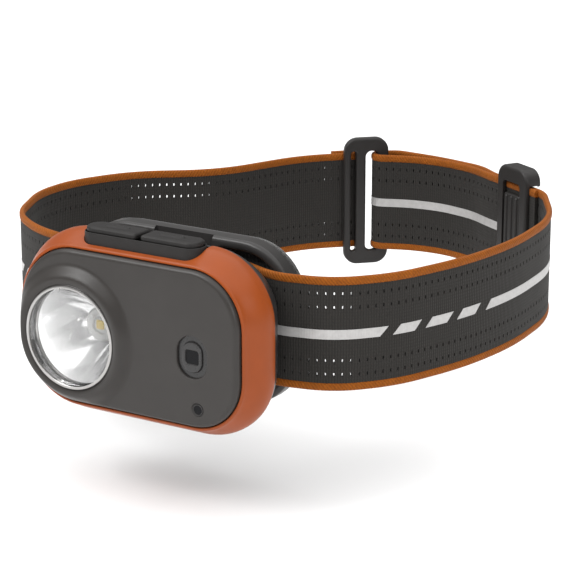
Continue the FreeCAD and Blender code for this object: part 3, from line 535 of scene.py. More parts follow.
def make_front_shell():
    """Rays run from the lens ring to the outline, and the face's level is worked out along them.

    With u the distance from the ring, the collar climbs by a quarter sine wave to its crest and falls
    to the face by half a cosine wave. Near the outline the level drops by the edge's quarter circle.
    """
    rays, collar, crest, foot, edge = 384, FACE - RIM_FRONT + 0.25, 1.5, 5.4, 1.3
    at_ring, lip = 0.78, 0.25                      # collar's height at the ring, and its lip's width
    angle = np.arange(rays) * 2 * math.pi / rays
    way = np.stack([np.cos(angle), np.sin(angle)], 1)
    near, far = np.zeros(rays), np.full(rays, 80.0)
    for _ in range(40):
        middle = (near + far) / 2
        inside = depth_inside(LENS + way * middle[:, None]) > 0
        near, far = np.where(inside, middle, near), np.where(inside, far, middle)
    run = near - RIM_RADIUS
    first, last = np.minimum(foot, run * 0.55), np.minimum(1.9, run * 0.4)
    crest, foot = np.minimum(crest, run * 0.4), np.minimum(foot, run + 0.3)
    slope = 1 - np.cos(np.linspace(0, QUARTER, 9))
    steps = [first * t for t in np.linspace(0, 1, 19)]
    steps += [first + (run - last - first) * t for t in np.linspace(0, 1, 7)[1:]]
    steps += [run - last * t for t in slope[::-1][1:]]
    rings = []
    for u in steps:
        flat = LENS + way * (RIM_RADIUS + u)[:, None]
        inset = np.clip(depth_inside(flat), 0, edge)
        climb = at_ring + (1 - at_ring) * np.sin(np.clip(u / crest, 0, 1) * QUARTER)
        fall = 0.5 + 0.5 * np.cos(np.clip((u - crest) / (foot - crest), 0, 1) * math.pi)
        level = face_level(flat[:, 1]) - collar * climb * fall
        level += edge - np.sqrt(np.maximum(edge ** 2 - (edge - inset) ** 2, 0))
        rings.append(np.stack([flat[:, 0], level, flat[:, 1]], 1))
    bore = LENS + way * RIM_RADIUS
    rings[0] = np.stack([bore[:, 0] + way[:, 0] * lip, rings[0][:, 1], bore[:, 1] + way[:, 1] * lip], 1)
    wall = LENS + way * near[:, None]
    rings += [facing(wall, PLATE_BACK), facing(bore, PLATE_BACK), facing(bore, RIM_FRONT + lip)]
    shell = tube("front_shell_moulding", rings)
    lip_shape = (8.9, 11.0, 4.4, 4.4, tuple(FLOOD))
    flare = [(0.5, FACE - 0.3), (0.45, FACE - 0.001), (0.2, FACE + 0.06), (0.05, FACE + 0.2),
             (0.0, FACE + 0.45), (0.0, FACE + 1.5)]
    carve(shell, solid("recess", layers(lip_shape, flare)))
    front = face_level(SENSOR[1])
    hole = [(2.02, front - 0.3), (1.92, front - 0.001), (1.74, front + 0.05), (1.62, front + 0.25),
            (1.62, front + 4)]
    carve(shell, solid("hole", discs(hole, SENSOR, 48)))
    settle(shell, SHELL_GREY, "lamp", ["front_shell"], sharp=38)


def make_flood_light():
    """A stepped bezel: the recess's floor, a raised boss with a rolled edge, and a small window."""
    floor, top, back = FACE + 0.8, FACE + 0.1, FACE + 1.6
    middle = tuple(FLOOD)
    boss = (6.0, 8.0, 2.9, 2.9, middle)
    window = (3.9, 3.6, 0.7, 0.7, middle)
    base = (8.8, 10.9, 4.35, 4.35, middle)
    rings = layers(base, [(0, back), (0, floor), (-0.1, floor)])
    rings += layers(boss, [(0.35, floor), (0.1, floor - 0.06), (0, floor - 0.25), (-0.05, top + 0.25),
                           (-0.2, top + 0.06), (-0.5, top)])
    rings += layers(window, [(0.45, top), (0.15, top + 0.05), (0.02, top + 0.2), (-0.2, floor + 0.3),
                             (-0.2, back)])
    settle(tube("flood_bezel_moulding", rings), BEZEL_BLACK, "lamp", ["flood_bezel"])
    front = face_level(SENSOR[1])
    ring = [(1.6, front + 0.9), (1.6, front + 0.12), (1.5, front - 0.04), (1.3, front - 0.04),
            (1.15, front + 0.2), (1.1, front + 0.9)]
    settle(tube("sensor_ring", discs(ring, SENSOR, 48)), CRADLE_GREY, "lamp")


def make_housing_band():
    """Rings of the shell's outline. The offset follows a slim front lip, a crease, then a swelling wall."""
    lip = [(0.18, 2.4), (0.18, 0.95), (0.26, 0.7), (0.45, 0.6), (0.75, 0.66), (0.98, 0.85), (1.1, 1.1),
           (1.16, 1.4)]
    t = np.linspace(0, 1, 14)[1:]
    (crease, level), flare, deep = lip[-1], 4.0, 7.2
    swell = list(zip(crease + (flare - crease) * np.sin(t * QUARTER) ** 1.2, level + deep * t))
    tail = [(flare, 9.4), (3.93, 9.9), (3.85, BAND_BACK - 0.12), (3.65, BAND_BACK), (1.8, BAND_BACK),
            (1.8, 4.0), (-3.0, 4.0), (-3.0, 2.4)]
    band = tube("housing_band_moulding", [casing_ring(offset, level) for offset, level in lip + swell + tail])
    seat_low, seat_high = box_mm("key_seat")
    middle, size = (seat_low + seat_high) / 2 - LAMP, seat_high - seat_low
    gap, corner = 0.15, size[1] * SEAT_ROUND
    front = middle[1] - size[1] / 2 - gap
    opening = (size[0] + 2 * gap, 2 * (BAND_BACK - front), corner, corner, (middle[0], BAND_BACK))
    carve(band, prism(opening, SHELL_TALL / 2 + 1.0, SHELL_TALL / 2 + 9.0, stand=lying))
    settle(band, BAND_ORANGE, "lamp", ["housing_band"], sharp=30)


def make_rear_cover():
    """A tray whose outline draws in towards the back, with two hinge ears, screw wells and the port."""
    start = BAND_BACK
    profile = [(-3.0, start + 9.0), (-3.0, start), (3.4, start), (3.6, start + 0.25), (3.2, start + 1.5),
               (2.3, start + 3.3), (1.12, start + 5.3), (-0.25, start + 7.4), (-1.2, start + 8.8),
               (-2.0, start + 9.8), (-2.8, start + 10.5), (-3.5, start + 10.85), (-4.4, COVER_BACK),
               (-4.5, COVER_BACK)]
    cover = solid("rear_cover_moulding", [casing_ring(offset, level) for offset, level in profile])
    middle, reach = middle_of("tilt_pin"), box_mm("tilt_pin")[1][0]
    barrel, wide = 2.6, 3.0
    angle = np.linspace(-QUARTER, QUARTER, 17)
    root = LAMP[1] + COVER_BACK - 1.5
    arm = np.stack([middle[1] + barrel * np.cos(angle), middle[2] + barrel * np.sin(angle)], 1)
    arm = np.concatenate([arm, [(root, middle[2] + barrel), (root, middle[2] - barrel)]])
    centre = arm.mean(0)
    for side in (-1, 1):
        inner, outer, soft = side * (reach - wide), side * reach, side * 0.35
        ear = [across(centre + (arm - centre) * scale, x) for scale, x in
               [(0.93, inner), (1.0, inner + soft), (1.0, outer - soft), (0.93, outer)]]
        carve(cover, solid("ear", ear, ORIGIN), "UNION")
    pocket_y, pocket_wide, reach_out, pocket_half = (middle_of("port_cover") - LAMP)[1], 6.3, 6.0, 7.5
    pocket = (2 * reach_out, pocket_wide, 0.1, 0.1, (-SHELL_WIDE / 2 + 1.2 - reach_out, pocket_y))
    carve(cover, prism(pocket, -pocket_half, pocket_half, stand=lying))
    screws_low, screws_high = box_mm("cover_screws")
    screws_x, head = ((screws_low + screws_high) / 2 - LAMP)[0], (screws_high[2] - screws_low[2]) / 2 - 2.1
    for side in (-1, 1):
        well = [(2.3, COVER_BACK - 2.5), (2.3, COVER_BACK - 0.3), (2.6, COVER_BACK), (2.6, COVER_BACK + 1)]
        carve(cover, solid("well", discs(well, (screws_x, side * head), 40)))
    settle(cover, COVER_BLACK, "lamp", ["rear_cover"], sharp=30)


# ---- the main light
def make_main_light():
    """Ring, lens, paraboloid reflector, centring ring and emitter, all about the lens's axis."""
    outer, inner = RIM_RADIUS - 0.05, LENS_RADIUS
    back = rim_high[1] - LAMP[1]
    rim = [(outer, back), (outer, RIM_FRONT + 0.35), (outer - 0.1, RIM_FRONT + 0.1),
           (outer - 0.35, RIM_FRONT - 0.02), (outer - 0.8, RIM_FRONT), (inner + 0.25, RIM_FRONT + 0.12),
           (inner + 0.04, RIM_FRONT + 0.3), (inner, RIM_FRONT + 0.9), (inner + 0.55, RIM_FRONT + 0.9),
           (inner + 0.55, back)]
    settle(tube("lens_ring", discs(rim, LENS, 128)), RIM_SATIN, "lamp", ["lens_rim"])
    front, behind = lens_low[1] - LAMP[1], lens_high[1] - LAMP[1]
    radius = inner + 0.5
    crown = [(radius * math.sin(a), front + 0.12 - 0.42 * math.cos(a)) for a in np.linspace(0.002, QUARTER, 14)]
    lens = solid("lens_moulding", discs(crown + [(radius, behind), (0.05, behind)], LENS, 128))
    settle(lens, LENS_CLEAR, "lamp", ["main_lens"], sharp=60)
    mouth, neck, wall = inner - 0.35, 4.3, 0.8
    start, end = reflector_low[1] - LAMP[1], reflector_high[1] - LAMP[1]
    t = np.linspace(0, 1, 40)
    bowl = np.sqrt(mouth ** 2 + (neck ** 2 - mouth ** 2) * t)
    level = start + (end - start) * t
    profile = [(radius - 0.05, start + 0.02), (mouth + 0.1, start + 0.02)] + list(zip(bowl, level))
    profile += list(zip(bowl[::-3] + wall, level[::-3] + 0.01)) + [(radius - 0.05, start + 0.9)]
    bowl = tube("reflector_bowl", discs(profile, LENS, 128))
    settle(bowl, CHROME, "lamp", ["reflector"], sharp=50)
    ring = [(4.2, end + 0.6), (4.2, end - 0.3), (4.05, end - 0.42), (3.3, end - 0.4), (2.75, end - 0.2),
            (2.6, end), (2.6, end + 0.6)]
    ring = tube("centring_ring", discs(ring, LENS, 128))
    settle(ring, WHITE_RING, "lamp", ["led_centring_ring"])
    middle = tuple(LENS)
    led = slab("emitter_package", (3.45, 3.45, 0.3, 0.3, middle), [], rounded_wall(end, end + 0.7, 0.1, 0.1, 3))
    settle(led, WHITE_RING, "lamp", ["main_led"])
    pad = slab("emitter_phosphor", (2.4, 2.4, 0.35, 0.35, middle), [],
               rounded_wall(end - 0.35, end + 0.1, 0.25, 0.02, 4))
    settle(pad, PHOSPHOR, "lamp")


# ---- the keys
def make_keys():
    """Each key blends ring by ring from its own outline to the raised dash on its top."""
    seat_low, seat_high = box_mm("key_seat")
    low, high = seat_low - LAMP, seat_high - LAMP
    middle, size = (low + high) / 2, high - low
    top = high[2]
    corner = size[1] * SEAT_ROUND
    shape = (size[0], size[1], corner, corner, (middle[0], middle[1]))
    rise = [(0.3, low[2]), (0, low[2] + 0.3), (0, top + 0.9), (0.08, top + 1.1), (0.2, top + 1.18),
            (0.34, top + 1.1), (0.42, top + 0.9), (0.42, top + 0.1), (0.6, top)]
    seat = solid("key_seat_moulding", layers(shape, rise, lying, -1))
    settle(seat, KEY_RUBBER, "lamp", ["key_seat"])
    for side, node in ((-1, "left_key"), (1, "right_key")):
        key_low, key_high = box_mm(node)
        low, high = key_low - LAMP, key_high - LAMP
        middle, size, crest = (low + high) / 2, high - low, high[2]
        round_end, straight = size[1] * 0.45, 1.2
        ends = (round_end, straight) if side < 0 else (straight, round_end)
        shape = (size[0], size[1], *ends, (middle[0], middle[1]))
        wall = [(1.0, crest - 1.7), (0.6, crest - 1.68), (0.44, crest - 1.5), (0.4, crest - 0.8),
                (0.48, crest - 0.45), (0.75, crest - 0.2), (1.2, crest - 0.06)]
        rings = layers(shape, wall, lying, -1)
        dash = (7.4, 1.5, 0.7, 0.7, (middle[0] - side * 0.6, middle[1]))
        foot = lying(grown(dash, 0.3), crest - 0.02)
        edge = rings[-1]
        rings += [edge + (foot - edge) * t for t in (0.35, 0.7, 1.0)]
        rings += layers(dash, [(0.1, crest + 0.03), (0, crest + 0.14), (-0.12, crest + 0.24),
                               (-0.35, crest + 0.28)], lying)
        key = Skin()
        key.plug(rings)
        stem = [(1.0, low[2]), (1.3, low[2] + 0.3), (1.3, crest - 1.2)]
        key.plug(discs(stem, (middle[0], middle[1]), 24, lying))
        settle(key.build(node + "_cap", LAMP), KEY_RUBBER, node, [node], sharp=50)


# ---- cradle and its pad
def make_cradle():
    """A frame with two windows and rolled edges; the web between is hollowed and carries the barrel."""
    front, back = -8.6, cradle_high[1]
    wide, tall = cradle_high[0] - cradle_low[0], cradle_high[2] - cradle_low[2]
    rim, web, corner = 3.0, 21.2, 16.0
    low = (cradle_high[2] + cradle_low[2]) / 2
    window = wide / 2 - rim - web / 2
    middle = web / 2 + window / 2
    holes = [(window, tall - 2 * rim, 2.0, corner - rim, (middle, low)),
             (window, tall - 2 * rim, corner - rim, 2.0, (-middle, low))]
    frame_piece = slab("cradle_moulding", (wide, tall, corner, corner, (0, low)), holes,
                       rounded_wall(front, back, 1.3, 0.6, 7), ORIGIN)
    lane = (web + 1.0, 33.0, 1.0, 1.0, (0, 0))
    hollow = (web - 3.0, 2 * tall, 1.0, 1.0, (0, 0))
    for shape, start, end in ((lane, front - 1, front + 0.6), (hollow, front - 1, front + 1.2),
                              (lane, front + 2.4, back + 1)):
        carve(frame_piece, prism(shape, start, end, place=ORIGIN))
    hinge = middle_of("tilt_pin")
    half = web / 2
    barrel = [(2.35, -half), (2.6, 0.25 - half), (2.6, half - 0.25), (2.35, half)]
    barrel = solid("barrel", discs(barrel, (hinge[1], hinge[2]), 48, across), ORIGIN)
    carve(frame_piece, barrel, "UNION")
    settle(frame_piece, CRADLE_GREY, "cradle", ["cradle_frame"], sharp=30)


def make_pad():
    """Foam under mesh cloth: rolled edge, a sewn groove inside it, and a shallow crown."""
    front, back = pad_low[1], pad_high[1]
    wide, tall = pad_high[0] - pad_low[0], pad_high[2] - pad_low[2]
    low, corner = (pad_high[2] + pad_low[2]) / 2, 15.5
    profile = [(2.0, front + 0.05), (0.6, front + 0.12), (0.1, front + 0.6), (0.0, front + 1.3),
               (0.25, back - 1.3), (0.9, back - 0.65), (1.8, back - 0.4), (2.7, back - 0.62),
               (3.0, back - 0.8), (3.3, back - 0.62),
               (4.4, back - 0.22), (6.5, back - 0.06), (10.0, back), (14.0, back + 0.02)]
    rings = [facing(outline(wide - 2 * inset, tall - 2 * inset, corner - inset, None, (0, low), 24), level)
             for inset, level in profile]
    pad = solid("forehead_pad_foam", rings, ORIGIN)
    settle(pad, FOAM, "cradle", ["forehead_pad"], sharp=80)
    seam = outline(wide - 6.0, tall - 6.0, corner - 3.0, None, (0, low), 24)
    stitches("pad_stitches", facing(seam, back - 0.7), 2.2, 0.16, (0, 1, 0))


def stitches(name, loop, pitch, thick, up):
    """Threads along a closed line: each stitch is a short capsule that dives at both of its ends."""
    closed = np.concatenate([loop, loop[:1]])
    run = np.concatenate([[0], np.cumsum(np.linalg.norm(np.diff(closed, axis=0), axis=1))])
    count = int(run[-1] / pitch)
    rows, sides, share, arch = 5, 6, 0.82, 0.22    # share of the pitch a stitch covers, and its height
    t = np.linspace(-0.5, 0.5, rows)
    start = (np.arange(count) + 0.5) * run[-1] / count
    where = (start[:, None] + t[None, :] * pitch * share) % run[-1]
    line = np.stack([np.interp(where, run, closed[:, axis]) for axis in range(3)], -1)
    up = np.array(up, float)
    line += up * (arch * (1 - (2 * t) ** 2))[None, :, None]
    ahead = np.gradient(line, axis=1)
    side = np.cross(ahead, up)
    side /= np.linalg.norm(side, axis=-1, keepdims=True)
    angle = np.arange(sides) * 2 * math.pi / sides
    radius = thick * np.sqrt(1 - (1.8 * t) ** 2).clip(0.3, 1)
    ring = (line[:, :, None] + radius[None, :, None, None] * (np.cos(angle)[:, None] * side[:, :, None]
            + np.sin(angle)[:, None] * up))
    skin = Skin()
    for rings in ring:
        skin.plug(rings)
    return settle(skin.build(name), THREAD, "cradle", sharp=80)


# ---- the headband
LOOP = (-18.3, 116.7, 0.0), math.radians(45)       # place, and turn about Z
SLIDER = (38.9, 107.1, 0.0), math.radians(-30)
PITCH = 2.13                     # from one perforation to the next
HEM_BAR = -1.7


def in_loop(along, out):
    """A point given in the end loop's own frame."""
    place, turn = LOOP
    c, s = math.cos(turn), math.sin(turn)
    return place[0] + along * c - out * s, place[1] + along * s + out * c


PLY = 1.85                       # loop's middle to the strap's middle line behind it
HEM = PLY + 3.5
FOLD = 2.4
# The strap's middle line from above: x, y, and the tangent length of the arc there (0: 0.45 of a run).
ROUTE = np.array([
    (*in_loop(HEM_BAR - 8.0, HEM), 0), (*in_loop(HEM_BAR + 1.75, HEM), 1.749),
    (*in_loop(HEM_BAR + 1.75, PLY), 1.749),
    (-33.8, 103.7, 0), (-45.0, 74.3, 0), (-65.2, 59.1, 0), (-73.8, 40.2, 0), (-73.8, 25.0, 0), (-63.9, 3.2, 0),
    (-48.4, -7.4, 0), (-29.5, -11.3, 5.0), (-15.6, -5.3, 3.0), (15.6, -5.3, 3.0), (29.5, -11.3, 5.0),
    (45.2, -7.9, 0), (55.9, 4.9, 0), (63.6, 27.2, 0), (66.4, 49.9, 0), (63.7, 78.1, 0), (49.8, 101.6, 3.8),
    (27.5, 114.45, 3.8), (19.5, 120.9, 4.2), (3.0, 124.9, 7.0), (*in_loop(10.6, FOLD), 2.5),
    (*in_loop(2.5, FOLD), 2.399), (*in_loop(2.5, -FOLD), 2.399), (-4.5, 121.2, 4.5), (6.0, 122.2, 5.0),
    (18.0, 118.9, 4.2), (26.2, 113.65, 3.5), (47.5, 101.36, 0)])


def strap_line():
    """Length, place and heading along the route: straight runs joined by tangent arcs.

    An arc's radius is its tangent length over the tangent of half the turn. The line is worked out
    every 0.05 mm, and a point of it is read off by its length.
    """
    corner, ease = ROUTE[:, :2], ROUTE[1:-1, 2]
    run = np.diff(corner, axis=0)
    size = np.linalg.norm(run, axis=1)
    way = run / size[:, None]
    ease = np.where(ease > 0, ease, 0.45 * np.minimum(size[:-1], size[1:]))
    heading = np.unwrap(np.arctan2(way[:, 1], way[:, 0]))
    arc = np.abs(np.diff(heading)) * ease / np.tan(np.abs(np.diff(heading)) / 2)
    straight = size - np.append(0, ease) - np.append(ease, 0)
    lengths = np.empty(2 * len(size) - 1)
    lengths[0::2], lengths[1::2] = straight, arc
    knots = np.append(0, np.cumsum(lengths))
    s = np.linspace(0, knots[-1], int(knots[-1] / 0.05))
    turned = np.interp(s, knots, np.repeat(heading, 2))
    step = np.stack([np.cos(turned), np.sin(turned)], 1)
    middle = (step[1:] + step[:-1]) / 2 * np.diff(s)[:, None]
    place = corner[0] + np.concatenate([[(0, 0)], np.cumsum(middle, axis=0)])
    return s, place, turned


LINE_S, LINE_PLACE, LINE_HEADING = strap_line()
STRAP_LONG = float(LINE_S[-1])


def on_strap(s, v, w):
    """A point of the strap: s along it, v up across it, w out of its outer face, all in millimetres."""
    x, y = (np.interp(s, LINE_S, LINE_PLACE[:, axis]) for axis in range(2))
    heading = np.interp(s, LINE_S, LINE_HEADING)
    return np.stack([x + w * np.sin(heading), y - w * np.cos(heading), v], -1)


def strap_piece(name, s, v, w, faces, paint):
    """A mesh from strap coordinates, with (s, v) kept in metres as its UV map."""
    mesh = bpy.data.meshes.new(name)
    mesh.from_pydata((on_strap(s, v, w) * MM).tolist(), [], faces.tolist())
    work = bmesh.new()
    work.from_mesh(mesh)
    bmesh.ops.recalc_face_normals(work, faces=work.faces)
    work.to_mesh(mesh)
    work.free()
    index = np.empty(len(mesh.loops), np.int32)
    mesh.loops.foreach_get("vertex_index", index)
    layer = mesh.uv_layers.new(name="strap")
    layer.data.foreach_set("uv", (np.stack([s, v], 1)[index] * MM).ravel())
    return settle(shown(name, mesh), paint, "cradle", sharp=40)


def quads_of(grid):
    """The four corners of each cell of a grid of point numbers."""
    return np.stack([grid[:-1, :-1], grid[1:, :-1], grid[1:, 1:], grid[:-1, 1:]], -1)


def edge_wall(grid, size):
    """Quads that join the grid's edge to the same edge of a second layer, size points on."""
    loop = np.concatenate([grid[:, 0], grid[-1, 1:], grid[-2::-1, -1], grid[0, -2:0:-1]])
    return np.stack([loop, np.roll(loop, -1), np.roll(loop, -1) + size, loop + size], -1)


def make_webbing():
    """A grid of half a perforation's pitch by chosen lines across, in two layers, with the holes cut.

    Where a hole lies, the four quads round its middle become a ring of eight between the cell's
    edge and the hole's own outline, and eight more line the hole from one layer to the other.
    """
    half_thick, edge, cell = 0.55, 12.85, 0.95
    rows = (-10.6, -7.0, 7.0, 10.6)
    by_holes = [row + step for row in rows for step in (-cell, 0, cell)]
    lines = np.array(sorted([-edge, edge, -4.0, -1.4, 1.4, 4.0] + by_holes))
    columns = 2 * int(STRAP_LONG / PITCH) + 1
    s = np.linspace(0, STRAP_LONG, columns)
    grid = np.arange(columns * len(lines)).reshape(columns, len(lines))
    per_layer = grid.size
    cell_s = np.arange(1, columns - 1, 2)
    hem_long, end_plain = 12, 5
    hole_columns = cell_s[(s[cell_s] > hem_long) & (s[cell_s] < STRAP_LONG - end_plain)]
    hole_lines = np.array([int(np.argmin(abs(lines - row))) for row in rows])
    quads = quads_of(grid)
    keep = np.ones(quads.shape[:2], bool)
    c, r = np.meshgrid(hole_columns, hole_lines, indexing="ij")
    for dc in (-1, 0):
        for dr in (-1, 0):
            keep[c + dc, r + dr] = False
    around = np.array([(-1, -1), (0, -1), (1, -1), (1, 0), (1, 1), (0, 1), (-1, 1), (-1, 0)])
    rim = np.array([(-0.16, -0.42), (0, -0.52), (0.16, -0.42), (0.2, 0), (0.16, 0.42), (0, 0.52), (-0.16, 0.42),
                    (-0.2, 0)])
    frame_ring = grid[c[..., None] + around[:, 0], r[..., None] + around[:, 1]].reshape(-1, 8)
    hole_s = (s[c][..., None] + rim[:, 0]).ravel()
    hole_v = (lines[r][..., None] + rim[:, 1]).ravel()
    hole_ring = per_layer + np.arange(hole_s.size).reshape(-1, 8)
    layer_s = np.concatenate([np.repeat(s, len(lines)), hole_s])
    layer_v = np.concatenate([np.tile(lines, columns), hole_v])
    size = layer_s.size
    after = np.roll(np.arange(8), -1)
    around_holes = np.stack([frame_ring, frame_ring[:, after], hole_ring[:, after], hole_ring], -1)
    flat = np.concatenate([quads[keep], around_holes.reshape(-1, 4)])
    lining = np.stack([hole_ring, hole_ring[:, after], hole_ring[:, after] + size, hole_ring + size], -1)
    faces = np.concatenate([flat, flat + size, lining.reshape(-1, 4), edge_wall(grid, size)])
    s2, v2 = np.tile(layer_s, 2), np.tile(layer_v, 2)
    w2 = np.repeat([half_thick, -half_thick], size)
    used = np.zeros(2 * size, bool)
    used[faces.ravel()] = True
    renumber = np.cumsum(used) - 1
    return strap_piece("webbing", s2[used], v2[used], w2[used], renumber[faces], WEBBING)


def make_edging(name, side):
    """A tube of flattened section along the strap's edge, its thickness swelling once for each yarn."""
    middle, half_wide, half_thick = side * 13.85, 1.15, 0.76
    steps, around = int(STRAP_LONG / 0.3), 14
    s = np.linspace(0, STRAP_LONG, steps)
    angle = np.arange(around) * 2 * math.pi / around
    swell = 1 + 0.055 * np.sin(2 * math.pi * s[:, None] / 0.9 + angle[None, :] * side)
    c, n = np.cos(angle), np.sin(angle)
    v = np.tile(middle + half_wide * np.sign(c) * np.abs(c) ** 0.8, (steps, 1))
    w = half_thick * np.sign(n) * np.abs(n) ** 0.8 * swell
    grid = np.arange(steps * around).reshape(steps, around)
    after = np.roll(grid, -1, axis=1)
    quads = np.stack([grid[:-1], after[:-1], after[1:], grid[1:]], -1).reshape(-1, 4)
    ends = np.array([(ring[k], ring[k + 1], ring[around - 2 - k], ring[around - 1 - k])
                     for ring in (grid[0], grid[-1]) for k in range(around // 2 - 1)])
    s_all = np.repeat(s, around)
    return strap_piece(name, s_all, v.ravel(), w.ravel(), np.concatenate([quads, ends]), EDGING)


def make_stripe():
    """The reflective print on the outer face: long bars with slanted ends, and short dashes between."""
    slant, half = 0.95, 1.25
    right_dashes = [(277.5, 284.1), (287.8, 295.2), (298.9, 306.0)]
    behind_lamp = LINE_PLACE[:, 1] < 0
    centre = LINE_S[behind_lamp][np.argmin(abs(LINE_PLACE[behind_lamp, 0]))]
    left_dashes = [(2 * centre - b, 2 * centre - a) for a, b in right_dashes]
    bars = [(16.5, 2 * centre - 310.7), *left_dashes[::-1], (2 * centre - 273.9, 273.9), *right_dashes,
            (310.7, STRAP_LONG - 3.0)]
    parts, count, top, sunk = [], 0, 0.66, 0.42
    for start, end in bars:
        columns = max(4, int((end - start) / 0.5))
        s, v = np.meshgrid(np.linspace(start, end, columns), np.linspace(-half, half, 3), indexing="ij")
        s = s + slant * v
        grid = np.arange(s.size).reshape(s.shape)
        quads = quads_of(grid).reshape(-1, 4)
        faces = np.concatenate([quads, quads + s.size, edge_wall(grid, s.size)]) + count
        parts.append((np.tile(s.ravel(), 2), np.tile(v.ravel(), 2), np.repeat([top, sunk], s.size), faces))
        count += 2 * s.size
    return strap_piece("reflective_stripe", *map(np.concatenate, zip(*parts)), STRIPE)


def make_strap_loop():
    """A flat plate with two slots, and the bar behind it that the sewn hem goes round."""
    half, tall, slot_end = 1.1, 40.0, 15.8
    slots = [(wide, 2 * slot_end, corner, corner, (x, 0)) for wide, corner, x in
             ((1.6, 0.78, -4.1), (3.8, 1.85, 1.7))]
    plate = slab("strap_loop_moulding", (14.0, tall, 4.2, 4.2, (0, 0)), slots,
                 rounded_wall(-half, half, 0.7, 0.35, 6), *LOOP)
    bar_y = half + 2.5
    end = tall / 2 - 2.0
    bar = [(0.55, -end), (0.75, 0.2 - end), (0.75, end - 0.2), (0.55, end)]
    bar = solid("bar", discs(bar, (HEM_BAR, bar_y), 20, lying), *LOOP)
    carve(plate, bar, "UNION")
    for side in (-1, 1):
        post = (1.5, end - slot_end, 0.4, 0.4, (HEM_BAR, side * (end + slot_end) / 2))
        carve(plate, prism(post, half - 0.3, bar_y + 0.5, facing, *LOOP), "UNION")
    settle(plate, BUCKLE_BLACK, "cradle", ["strap_loop"], sharp=30)


def make_strap_slider():
    """A thick block with the strap's lane through it, two windows outside, and one with a ribbed tongue."""
    half, wide, tall, lane, foot = 2.7, 15.2, 40.0, 31.0, 16.0
    block = slab("strap_slider_moulding", (wide, tall, 4.0, 4.0, (0, 0)), [],
                 rounded_wall(-half, half, 1.0, 0.8, 6), *SLIDER)
    cuts = [((wide + 2, lane, 0.3, 0.3, (0, 0)), -1.4, 1.4),
            ((wide - 6.4, lane, 1.2, 1.2, (0, 0)), -half - 1, -1.2)]
    cuts += [((6.5, lane, 1.2, 1.2, (side * 4.85, 0)), 1.2, half + 1) for side in (-1, 1)]
    for shape, front, back in cuts:
        carve(block, prism(shape, front, back, facing, *SLIDER))
    tongue_wide, tongue_top = wide - 7.2, 11.8
    shape = (tongue_wide, tongue_top + foot, 0.8, 0.8, (0, (tongue_top - foot) / 2))
    tongue = layers(shape, [(0.3, 0.25 - half), (0, 0.5 - half), (0, -1.55), (0.2, -1.42)], way=-1)
    carve(block, solid("tongue", tongue, *SLIDER), "UNION")
    for x in (-0.32 * tongue_wide, 0, 0.32 * tongue_wide):
        rib = [(0.2, -15.6), (0.55, -15.2), (0.55, tongue_top - 0.9), (0.2, tongue_top - 0.4)]
        rib = solid("rib", discs(rib, (x, 0.35 - half), 16, lying), *SLIDER)
        carve(block, rib, "UNION")
    settle(block, BUCKLE_BLACK, "cradle", ["strap_slider"], sharp=30)


def make_hem_stitches():
    """Two rows of thread across the sewn hem, on its inner face."""
    for number, s in enumerate((1.6, 3.4)):
        v = np.linspace(-12.2, 12.2, 60)
        line = on_strap(np.full_like(v, s), v, np.full_like(v, -0.58))
        inner, outer = (on_strap(np.array([s]), np.zeros(1), np.array([w]))[0] for w in (-1.0, 0.0))
        inward = inner - outer
        there_and_back = np.concatenate([line, line[::-1] + inward * 0.01])
        stitches("hem_stitches_%d" % (number + 1), there_and_back, 1.6, 0.13, inward)


def make_headband():
    webbing = make_webbing()
    edges = [make_edging("upper_edging", 1), make_edging("lower_edging", -1)]
    stripe = make_stripe()
    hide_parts("headband")
    make_hem_stitches()


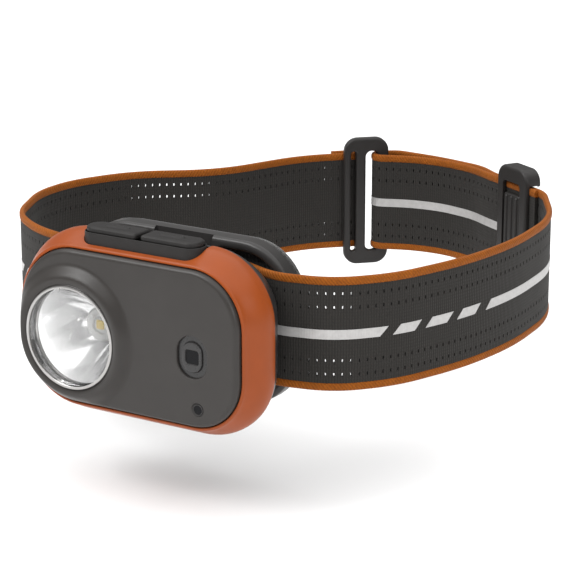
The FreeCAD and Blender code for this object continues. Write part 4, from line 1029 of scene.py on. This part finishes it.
# ---- what the CAD shows
def finish_cad_nodes():
    """Materials for the CAD pieces that are shown as they are."""
    looks = ((WINDOW_SMOKED, "flood_window sensor_window"), (PHOSPHOR, "flood_led"), (BOARD_METAL, "led_board"),
             (BOARD, "optics_board control_board charging_board"), (SEAL_RUBBER, "front_seal rear_seal"),
             (CHIP_BLACK, "light_sensor left_switch right_switch"), (CELL_WRAP, "battery_pack"),
             (STEEL, "usb_socket cover_screws tilt_pin"), (PORT_RUBBER, "port_cover"))
    for paint, names in looks:
        for name in names.split():
            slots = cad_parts[name].data.materials
            slots.clear()
            slots.append(paint)


# ---- camera, light and floor
def make_studio():
    scene = bpy.context.scene
    azimuth, elevation = math.radians(32.258), math.radians(16.226)
    back = Vector((math.sin(azimuth) * math.cos(elevation), -math.cos(azimuth) * math.cos(elevation),
                   math.sin(elevation)))
    camera = shown("camera", bpy.data.cameras.new("camera"))
    camera.location = (0.3206, -0.4671, 0.1690)
    camera.rotation_mode = "QUATERNION"
    camera.rotation_quaternion = (-back).to_track_quat("-Z", "Y")
    camera.data.lens, camera.data.sensor_width = 141.5, 36.0
    camera.data.clip_start, camera.data.clip_end = 0.01, 50.0
    scene.camera = camera
    scene.view_settings.view_transform = "Standard"
    world = bpy.data.worlds.new("studio")
    world.use_nodes = True
    background = world.node_tree.nodes["Background"]
    background.inputs["Color"].default_value = (1, 1, 1, 1)
    background.inputs["Strength"].default_value = 0.30
    scene.world = world
    lights = [("key", "AREA", (-0.45, -0.6, 0.75), "size", 0.45, 5.0),
              ("side", "AREA", (0.95, -0.35, 0.45), "size", 0.4, 2.5),
              ("sky", "SUN", (-0.1, -0.1, 1.5), "angle", math.radians(100.0), 2.9)]
    for name, kind, place, spread, amount, power in lights:
        light = shown(name, bpy.data.lights.new(name, kind))
        light.data.energy = power
        setattr(light.data, spread, amount)
        light.location = place
        light.rotation_mode = "QUATERNION"
        light.rotation_quaternion = Vector(place).to_track_quat("Z", "Y")
    reach, clear = 6.0, 0.02                           # the lamp is worn, so the floor is clear of it
    level = CAD_BOX[0][2] - clear
    mesh = bpy.data.meshes.new("floor")
    corners = ((-reach, -reach), (reach, -reach), (reach, reach), (-reach, reach))
    mesh.from_pydata([(x, y, level) for x, y in corners], [], [(0, 1, 2, 3)])
    mesh.materials.append(Paint("floor_white", (0.93, 0.93, 0.93), 0.9).material)
    shown("floor", mesh)


make_studio()
make_headband()
make_strap_loop()
make_strap_slider()
make_cradle()
make_pad()
make_front_shell()
make_flood_light()
make_housing_band()
make_rear_cover()
make_main_light()
make_keys()
finish_cad_nodes()
